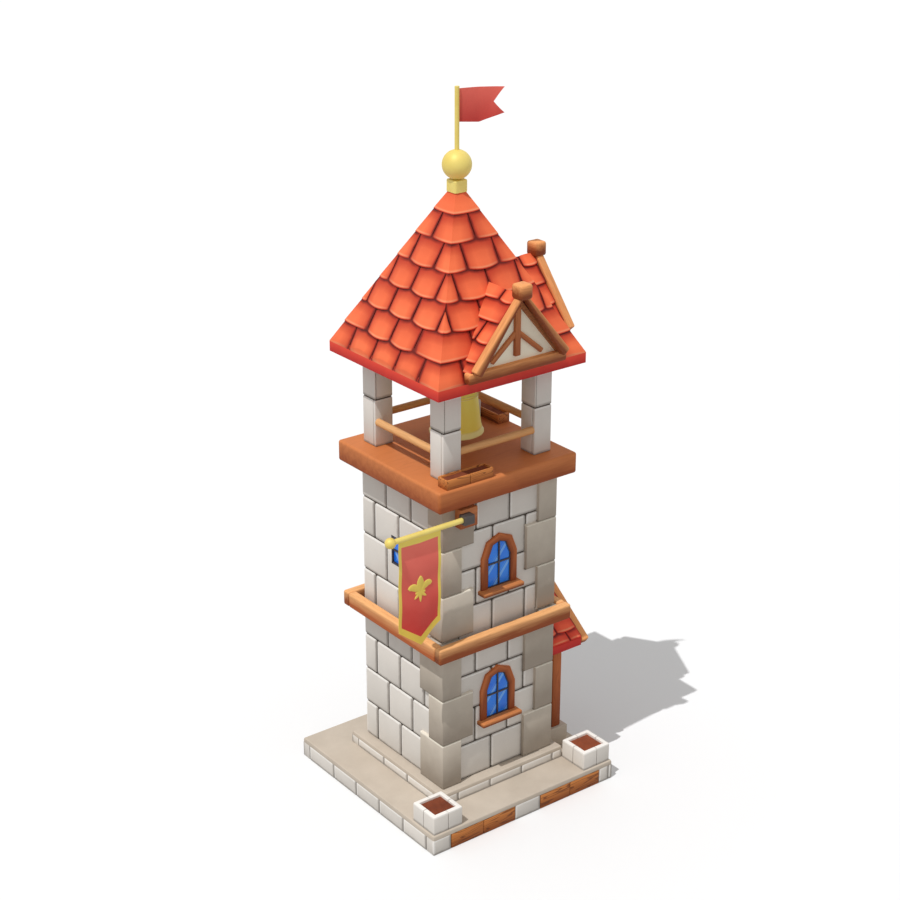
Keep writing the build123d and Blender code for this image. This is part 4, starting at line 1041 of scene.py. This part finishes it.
# Windows: a casing, blue glass in lead, a cross of bars and a sill; then the two plain slits.
w = windowShape
proud, width, back, bar = w["proud"], w["casing"], w["glassBack"], w["bar"] / 2
section = [(0.0, -0.02), (0.0, proud - 0.016), (0.016, proud), (width - 0.016, proud), (width, proud - 0.016),
           (width, -0.03), (0.11, -0.03)]
came = [(width - 0.005, -0.005), (width - 0.005, 0.04), (width + 0.026, 0.04), (width + 0.026, -0.005)]
opening = w["half"] - width
bars = [[-bar, bar, 0.0, w["height"] - width - 0.015, -0.005, 0.047],
        [-opening, opening, w["transom"] - bar, w["transom"] + bar, -0.005, 0.045],
        [-opening, opening, 0.0, 0.034, -0.005, 0.043]]
for name, place in windowPlaces.items():
    archMoulding(f"window_{name}_casing", windowArch, section, place, darkTimber, "dark_timber",
                 [f"window_front_{name}"])
    pane = slabRings(windowArch(width - 0.01), back - 0.02, back)
    ringMesh(f"window_{name}_glass", placed(pane, place), glassFront, "iron")
    archMoulding(f"window_{name}_came", windowArch, came, place, lead, "iron")
    layBlocks(f"window_{name}_bars", bars, place, lead, "iron", 0.004, 0.006)
    layBlocks(f"window_{name}_sill", [w["sill"]], place, sillTimber, "timber", 0.022, 0.02)
low, high, half, edge, middle, bar = slitLow, slitHigh, slitHalf, 0.055, (slitLow + slitHigh) / 2, 0.023
slitBars = [[-half, half, low, low + edge, -0.15, 0.006], [-half, half, high - edge, high, -0.15, 0.006],
            [-half, -half + edge, low, high, -0.15, 0.006], [half - edge, half, low, high, -0.15, 0.006],
            [-half, half, middle - bar, middle + bar, -0.08, -0.006], [-bar, bar, low, high, -0.08, -0.004]]
slitPane = [[-half + 0.04, half - 0.04, low + 0.04, high - 0.04, -0.06, -0.04]]
for name in slitSides:
    layBlocks(f"window_{name}_frame", slitBars, facing(name), lead, "iron", 0.006, 0.008,
              over=[f"window_{name}"])
    layBlocks(f"window_{name}_glass", slitPane, facing(name), glassSide if name == "left" else glassFront,
              "iron", 0.004, 0.004)

# Door: a casing, planks whose tops follow its arch, two straps and a ring.
s = doorShape
outer, inset = -s["casing"], s["casing"] / 2
section = [(outer, -0.01), (outer, s["proud"] - 0.015), (outer + 0.015, s["proud"]),
           (inset - 0.012, s["proud"]), (inset, s["proud"] - 0.012),
           (inset, -0.14), (0.0, -0.14), (0.0, -0.01)]
archMoulding("door_casing", doorArch, section, doorPlace, darkTimber, "dark_timber", ["door"])
leaf = doorArch(inset - 0.01)
start, width = leaf[0][0], 2 * leaf[-1][0] / s["planks"]
planks = [[start + i * width + 0.004, start + (i + 1) * width - 0.004, -0.15, -s["leafBack"], 0.01, 1.0]
          for i in range(s["planks"])]
local = blockRings(planks, 0.01, 0.006, False)
top = np.interp(local[..., 0], leaf[:, 0], leaf[:, 1])
local[..., 2] = np.where(local[..., 2] > 0.5, top + (local[..., 2] - 1.0), local[..., 2])
origin, along, up, out = doorPlace
ringMesh("door_planks", placed(local, (origin, along, out, up)), darkTimber, "dark_timber",
         grain=local[..., [2, 0, 1]] + dice.random((s["planks"], 1, 1, 3)) * 5)
leafFace = -s["leafBack"]
straps = [[-0.44, 0.25, level, level + 0.07, leafFace - 0.01, leafFace + 0.012] for level in s["straps"]]
layBlocks("door_straps", straps, doorPlace, iron, "iron", 0.012, 0.005)
ringTurn = np.linspace(0, 2 * np.pi, 32, endpoint=False)[:, None]
tube = np.linspace(0, 2 * np.pi, 8, endpoint=False)
ringRadius, tubeRadius = 0.055, 0.01
radius = ringRadius + tubeRadius * np.cos(tube)
handleY, handleZ = s["handle"]
handle = np.stack([handleY + radius * np.cos(ringTurn), handleZ + radius * np.sin(ringTurn),
                   leafFace + 0.012 + tubeRadius * np.sin(tube) + 0 * ringTurn], -1)[None]
ringMesh("door_ring", placed(handle, doorPlace), iron, "iron", joined=True)
print("windows and door set")

# Porch: tiles over the roof node, and a timber frame of posts, plates, boards and a plastered gable.
porchShape = {"half": 1.75, "eave": 3.815, "pitch": math.radians(36.7), "start": wallHalf + 0.095,
              "reach": 2.905, "beam": 2.16, "board": 0.25, "boardDepth": 0.245, "post": 0.3, "postX": 2.3,
              "postY": 1.355, "plate": 0.24, "depth": 0.19, "tileGap": 0.016, "drop": 0.045, "lap": 0.08,
              "panelThick": 0.09, "seams": (0.62, 0.36)}
p = porchShape
slope = (math.cos(p["pitch"]), math.sin(p["pitch"]))
porchPeak, porchSlope = p["eave"] + p["half"] * math.tan(p["pitch"]), p["half"] / slope[0]
plateTop = p["eave"] + (p["half"] - p["postY"] - p["post"] / 2) * math.tan(p["pitch"]) - p["depth"]


def porchRidge(height):
    return (p["half"] + height * slope[1]) / slope[0]


# The porch roof has no hips, so its tiles meet no limit to either side.
def noLimit(climb, height):
    return 9.0 + 0 * climb


# The upper rows of tiles start in front of the ring beam.
porchRows = [0.0, 0.32, 0.78, 1.24, 1.70, porchSlope + 0.08]
porchCuts, width = [], p["reach"] - p["start"]
for course, high in enumerate(porchRows[1:]):
    start = 0.0 if p["eave"] + high * slope[1] < beamLow - 0.1 else p["beam"] - p["start"]
    seam = start + (width - start) * p["seams"][course % 2]
    porchCuts.append([start, width] if course in (3, 4) else [start, seam, width])
tiles, above, gap = [], [], p["tileGap"] / 2
for course, (low, high) in enumerate(pairs(porchRows)):
    for left, right in pairs(porchCuts[course]):
        tiles.append([left + gap, right - gap, low, high + (p["lap"] if course < 4 else 0), 0.03, 0.035, 0.02,
                      p["drop"] if course else 0.0, 0, 0])
        above.append((high, porchCuts[course + 1] if course < 4 else [], p["drop"]))
for hand, label in ((-1, "front"), (1, "back")):
    place = ((p["start"], hand * p["half"], p["eave"]), (1, 0, 0), (0, -hand * slope[0], slope[1]),
             (0, hand * slope[1], slope[0]))
    layTiles(f"porch_tiles_{label}", tiles, above, noLimit, place, ridge=porchRidge, finish=porchTile)

postLow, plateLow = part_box("doorstep")[1].z, plateTop - p["plate"]
plateMiddle, parts, boards = plateLow + p["plate"] / 2, [], []
middle = np.array([p["reach"] + p["boardDepth"] / 2, 0, porchPeak - p["board"] / 2 / slope[0]])
for hand in (-1, 1):
    y, slant = hand * p["postY"], np.array([0, hand * slope[0], -slope[1]])
    parts.append(((p["postX"], y, postLow), (p["postX"], y, plateLow + 0.02), p["post"], p["post"], (1, 0, 0),
                  0.04, 0.03))
    parts.append(((p["start"], y, plateMiddle), (p["reach"], y, plateMiddle), p["post"], p["plate"],
                  (0, 1, 0), 0.03, 0.02))
    board = (middle - slant * 0.15, middle + slant * (porchSlope - 0.01), p["boardDepth"], p["board"],
             (1, 0, 0), 0.055, 0.04)
    boards.append(mitred(board, 1, hand, [hand * 2, 0, 0]))
parts.append(((p["postX"], -p["postY"] - 0.1, plateMiddle), (p["postX"], p["postY"] + 0.1, plateMiddle),
              p["post"] - 0.02, p["plate"] - 0.01, (1, 0, 0), 0.03, 0.02))
beams("porch_timbers", parts, darkTimber, "dark_timber", ["porch_frame"])
joinBeams("porch_bargeboards", boards, gableTimber, "timber")
inner = porchPeak - p["depth"]
half = (inner - plateTop) / math.tan(p["pitch"])
panel = slabRings([(-half, plateTop), (half, plateTop), (0, inner)], p["postX"] - p["panelThick"] / 2,
                  p["postX"] + p["panelThick"] / 2)
ringMesh("porch_gable", placed(panel, ((0, 0, 0), (0, 1, 0), (0, 0, 1), (1, 0, 0))), plaster, "stone")
print("porch built")

# Banner pole: a bracket block on the wall, a dark socket, and a gilt pole with a ball.
bannerShape = {"y": -2.187, "poleZ": 8.68, "pole": 0.07, "start": 1.345, "end": 3.655, "ball": 0.14,
               "edge": 2.156, "width": 1.255, "side": 2.45, "tip": 2.93, "sideHem": 0.062, "topHem": 0.055,
               "footHem": 0.075, "thick": 0.018, "bracket": (-1.47, -0.93), "bracketFront": 2.097,
               "socket": 0.125}
b = bannerShape
bracket = [[*b["bracket"], b["poleZ"] - 0.312, b["poleZ"] + 0.208, wallHalf + 0.095, b["bracketFront"]]]
layBlocks("banner_bracket", bracket, facing("front", 0), strutTimber, "dark_timber", 0.03, 0.03, True,
          over=["banner_pole"])
half, origin = b["socket"], (-b["start"], b["y"], b["poleZ"])
layBlocks("banner_socket", [[-half, half, -half, half, -0.155, 0.155]],
          (origin, (0, 1, 0), (0, 0, 1), (1, 0, 0)), iron, "iron", 0.03, 0.02, True)
# The pole's profile is a radius and a distance out, carried round its axis.
turn, length = np.radians(np.linspace(-62, 90, 12)), b["end"] - b["start"]
ball = np.stack([b["ball"] * np.cos(turn), length + b["ball"] * np.sin(turn)], -1)
ball[-1, 0] = 0.004
profile = np.array([(b["pole"], 0.0), (b["pole"], length - b["ball"] * 0.9), *ball])
angle = np.linspace(0, 2 * np.pi, 32, endpoint=False)
radius, away = profile[:, :1], profile[:, 1:]
local = np.stack([radius * np.cos(angle), radius * np.sin(angle), away + 0 * angle], -1)[None]
ringMesh("banner_pole_gilt", placed(local, (origin, (0, 1, 0), (0, 0, -1), (-1, 0, 0))), gold, "gold",
         grain=local[..., [2, 0, 1]])


# Banner: columns across and rows down. A column hangs to side + (tip - side) * (1 - |2s - 1|), and the cloth
# swells out of its plane by a slow wave that dies away at the pole.
def hangAt(s):
    return b["side"] + (b["tip"] - b["side"]) * (1 - np.abs(2 * s - 1))


def bannerPoints(s, t, out):
    swell = 0.03 * np.sin(2.2 * np.pi * s + 0.6) * t ** 1.4 + 0.012 * np.sin(5 * np.pi * t)
    return np.stack([-b["edge"] - b["width"] * s, b["y"] + swell - out,
                     b["poleZ"] - b["pole"] - 0.006 - t * hangAt(s)], -1)


# Cloth: two skins a thickness apart. Quads take the second finish where trim says so.
def clothMesh(name, front, back, flat, finish, trim, slot, over):
    faces = sheetFaces(*front.shape[:2])
    maps = {"spot": np.tile(flat.reshape(-1, 2), (2, 1))}
    piece = finishMesh(name, np.stack([front, back]), faces, finish, slot, over, maps=maps, sharp=50)
    slots = np.concatenate([trim.ravel(), trim.ravel(), np.full(len(faces) - 2 * trim.size, trim.max())])
    piece.data.polygons.foreach_set("material_index", slots.astype(np.int32))
    return piece


# Lines across a sheet from 0 to 1, with a line at each hem.
def hemmed(first, last, count):
    return np.array([0, *np.linspace(first, 1 - last, count), 1])


s, t = np.meshgrid(hemmed(b["sideHem"], b["sideHem"], 25), hemmed(b["topHem"], b["footHem"], 41))
middleS, middleT = ((line[1:] + line[:-1]) / 2 for line in (s[0], t[:, :1]))
trim = (np.abs(middleS - 0.5) > 0.5 - b["sideHem"]) | (middleT < b["topHem"]) | (middleT > 1 - b["footHem"])
flat, half = np.stack([s * b["width"], t * hangAt(s)], -1), b["thick"] / 2
banner = clothMesh("banner_cloth", bannerPoints(s, t, half), bannerPoints(s, t, -half), flat,
                   [bannerRed, goldCloth], trim, "banner_cloth", ["banner"])

# Lily on the banner: petals along centre lines given as (across, up, half width), smoothed by a parabola
# through each three points, and raised on both faces of the cloth as a padded applique.
lilyLevel, lilyRaise = 1.40, 0.022
petals = np.array([
    ((0.0, -0.08, 0.03), (0.0, 0.17, 0.22), (0.0, 0.38, 0.004)),
    ((0.02, -0.09, 0.03), (0.20, 0.19, 0.17), (0.34, 0.06, 0.05)),
    ((-0.02, -0.09, 0.03), (-0.20, 0.19, 0.17), (-0.34, 0.06, 0.05)),
    ((0.0, -0.08, 0.06), (0.0, -0.20, 0.07), (0.0, -0.37, 0.004)),
    ((0.03, -0.10, 0.04), (0.09, -0.16, 0.07), (0.20, -0.24, 0.004)),
    ((-0.03, -0.10, 0.04), (-0.09, -0.16, 0.07), (-0.20, -0.24, 0.004)),
    ((-0.15, -0.09, 0.03), (0.0, -0.08, 0.045), (0.15, -0.09, 0.03))])
steps = np.linspace(0, 1, 13)
shares = np.stack([(1 - steps) ** 2, 2 * steps * (1 - steps), steps ** 2], -1)
line = np.einsum("km,pmc->pkc", shares, petals)
heading = np.gradient(line[..., :2], axis=1)
heading /= np.linalg.norm(heading, axis=-1, keepdims=True)
sideways = np.stack([-heading[..., 1], heading[..., 0]], -1)
turn = np.linspace(0, 2 * np.pi, 12, endpoint=False)
spread = np.sign(np.cos(turn)) * np.abs(np.cos(turn)) ** 0.8
across = line[:, :, None, :2] + sideways[:, :, None] * line[:, :, None, 2:] * spread[:, None]
sAt, drop = 0.5 - across[..., 0] / b["width"], lilyLevel - across[..., 1]
bulge = lilyRaise * np.sin(turn) * np.minimum(1, line[..., 2:] / 0.03)
applique = ringMesh("banner_lily", bannerPoints(sAt, drop / hangAt(sAt), bulge), goldCloth, "banner_cloth",
                    maps={"spot": np.stack([across[..., 0] + 0.5, drop], -1)}, sharp=60)
print("banner hung")

# Flag: s runs from the pole to the fly, t from the top edge down. The cloth leaves the pole at one angle and
# turns to another past its bend, its lower edge sags to the bend and rises from there, and the fly stands
# back by notch * (1 - |2t - 1|).
flagShape = {"length": 1.14, "height": 0.845, "sag": 0.045, "rise": 0.22, "notch": 0.26,
             "first": math.radians(-14.5), "second": math.radians(-34.0), "bend": 0.46, "soft": 0.035,
             "gap": 0.06, "thick": 0.016, "ripple": 0.012, "poleSide": 0.05}
f, poleTop = flagShape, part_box("finial")[1].z
s, t = np.meshgrid(np.linspace(0, 1, 33), np.linspace(0, 1, 25))
reach = s * (f["length"] - f["notch"] * (1 - np.abs(2 * t - 1)) * s)
bendAt, soft, first, second = f["bend"] * f["length"], f["soft"], f["first"], f["second"]
past = soft * np.logaddexp(0, (reach - bendAt) / soft)
x = reach * math.cos(first) + past * (math.cos(second) - math.cos(first))
y = reach * math.sin(first) + past * (math.sin(second) - math.sin(first))
sag = f["sag"] * np.clip(1 - reach / bendAt, 0, 1)
drop = t * (f["height"] - sag - f["rise"] * np.clip(reach - bendAt, 0, 1) / (f["length"] - bendAt))
ripple = f["ripple"] * np.sin(9.0 * reach + 2.0 * t) * s


def flagPoints(out):
    return np.stack([f["poleSide"] + x - math.sin(second) * (ripple + out),
                     y + math.cos(second) * (ripple + out), poleTop - f["gap"] - drop], -1)


flag = clothMesh("flag_cloth", flagPoints(-f["thick"] / 2), flagPoints(f["thick"] / 2),
                 np.stack([reach, drop], -1), [flagRed], np.zeros((24, 32), np.int32), "flag_cloth", ["flag"])
print("flag flown")

studio = {"skyLight": 0.56, "sun": 2.15, "sunTurn": 192.0, "sunHeight": 63.75, "sunSoftness": 0.4,
          "floorSeen": 0.88, "floorLit": 0.46, "floorHalf": 300}


# The backdrop is white to the eye, and a paler grey to the light that it throws back on the object.
def shownDirectly(mix):
    path = mix.put("LightPath").outputs
    return mix.maths("MAXIMUM", path["Is Camera Ray"],
                     mix.maths("MAXIMUM", path["Is Glossy Ray"], path["Is Transmission Ray"]))


mix = newFinish("pale_floor", 0.9)
mix.shader.inputs["Specular IOR Level"].default_value = 0.0
floorMesh = bpy.data.meshes.new("floor")
reach = studio["floorHalf"]
corners = [(reach * x, reach * y, -0.002) for x, y in ((-1, -1), (1, -1), (1, 1), (-1, 1))]
floorMesh.from_pydata(corners, [], [(0, 1, 2, 3)])
floorMesh.materials.append(mix.done(mix.blend(shownDirectly(mix), studio["floorLit"], studio["floorSeen"])))
floor = addObject("floor", floorMesh)

world = bpy.data.worlds.new("studio")
bpy.context.scene.world = world
world.use_nodes = True
sky = Recipe(world.node_tree)
background = sky.tree.nodes["Background"]
background.inputs["Color"].default_value = (1, 1, 1, 1)
sky.tree.links.new(sky.spread(shownDirectly(sky), 0, 1, studio["skyLight"], 1.0),
                   background.inputs["Strength"])

lamp = bpy.data.lights.new("key_light", "SUN")
lamp.energy = studio["sun"]
lamp.angle = math.radians(studio["sunSoftness"])
sun = addObject("key_light", lamp)
sun.rotation_euler = (math.radians(90 - studio["sunHeight"]), 0, math.radians(studio["sunTurn"] + 90))

view = {"place": (-26.671, -34.850, 27.806), "tilt": 22.71, "turn": 37.21, "lens": 74.29}
lens = bpy.data.cameras.new("camera")
lens.lens = view["lens"]
lens.sensor_width = 36.0
lens.clip_end = 500.0
camera = addObject("camera", lens)
camera.location = view["place"]
camera.rotation_euler = (math.radians(90 - view["tilt"]), 0, math.radians(-view["turn"]))
bpy.context.scene.camera = camera
bpy.context.scene.view_settings.view_transform = "Standard"
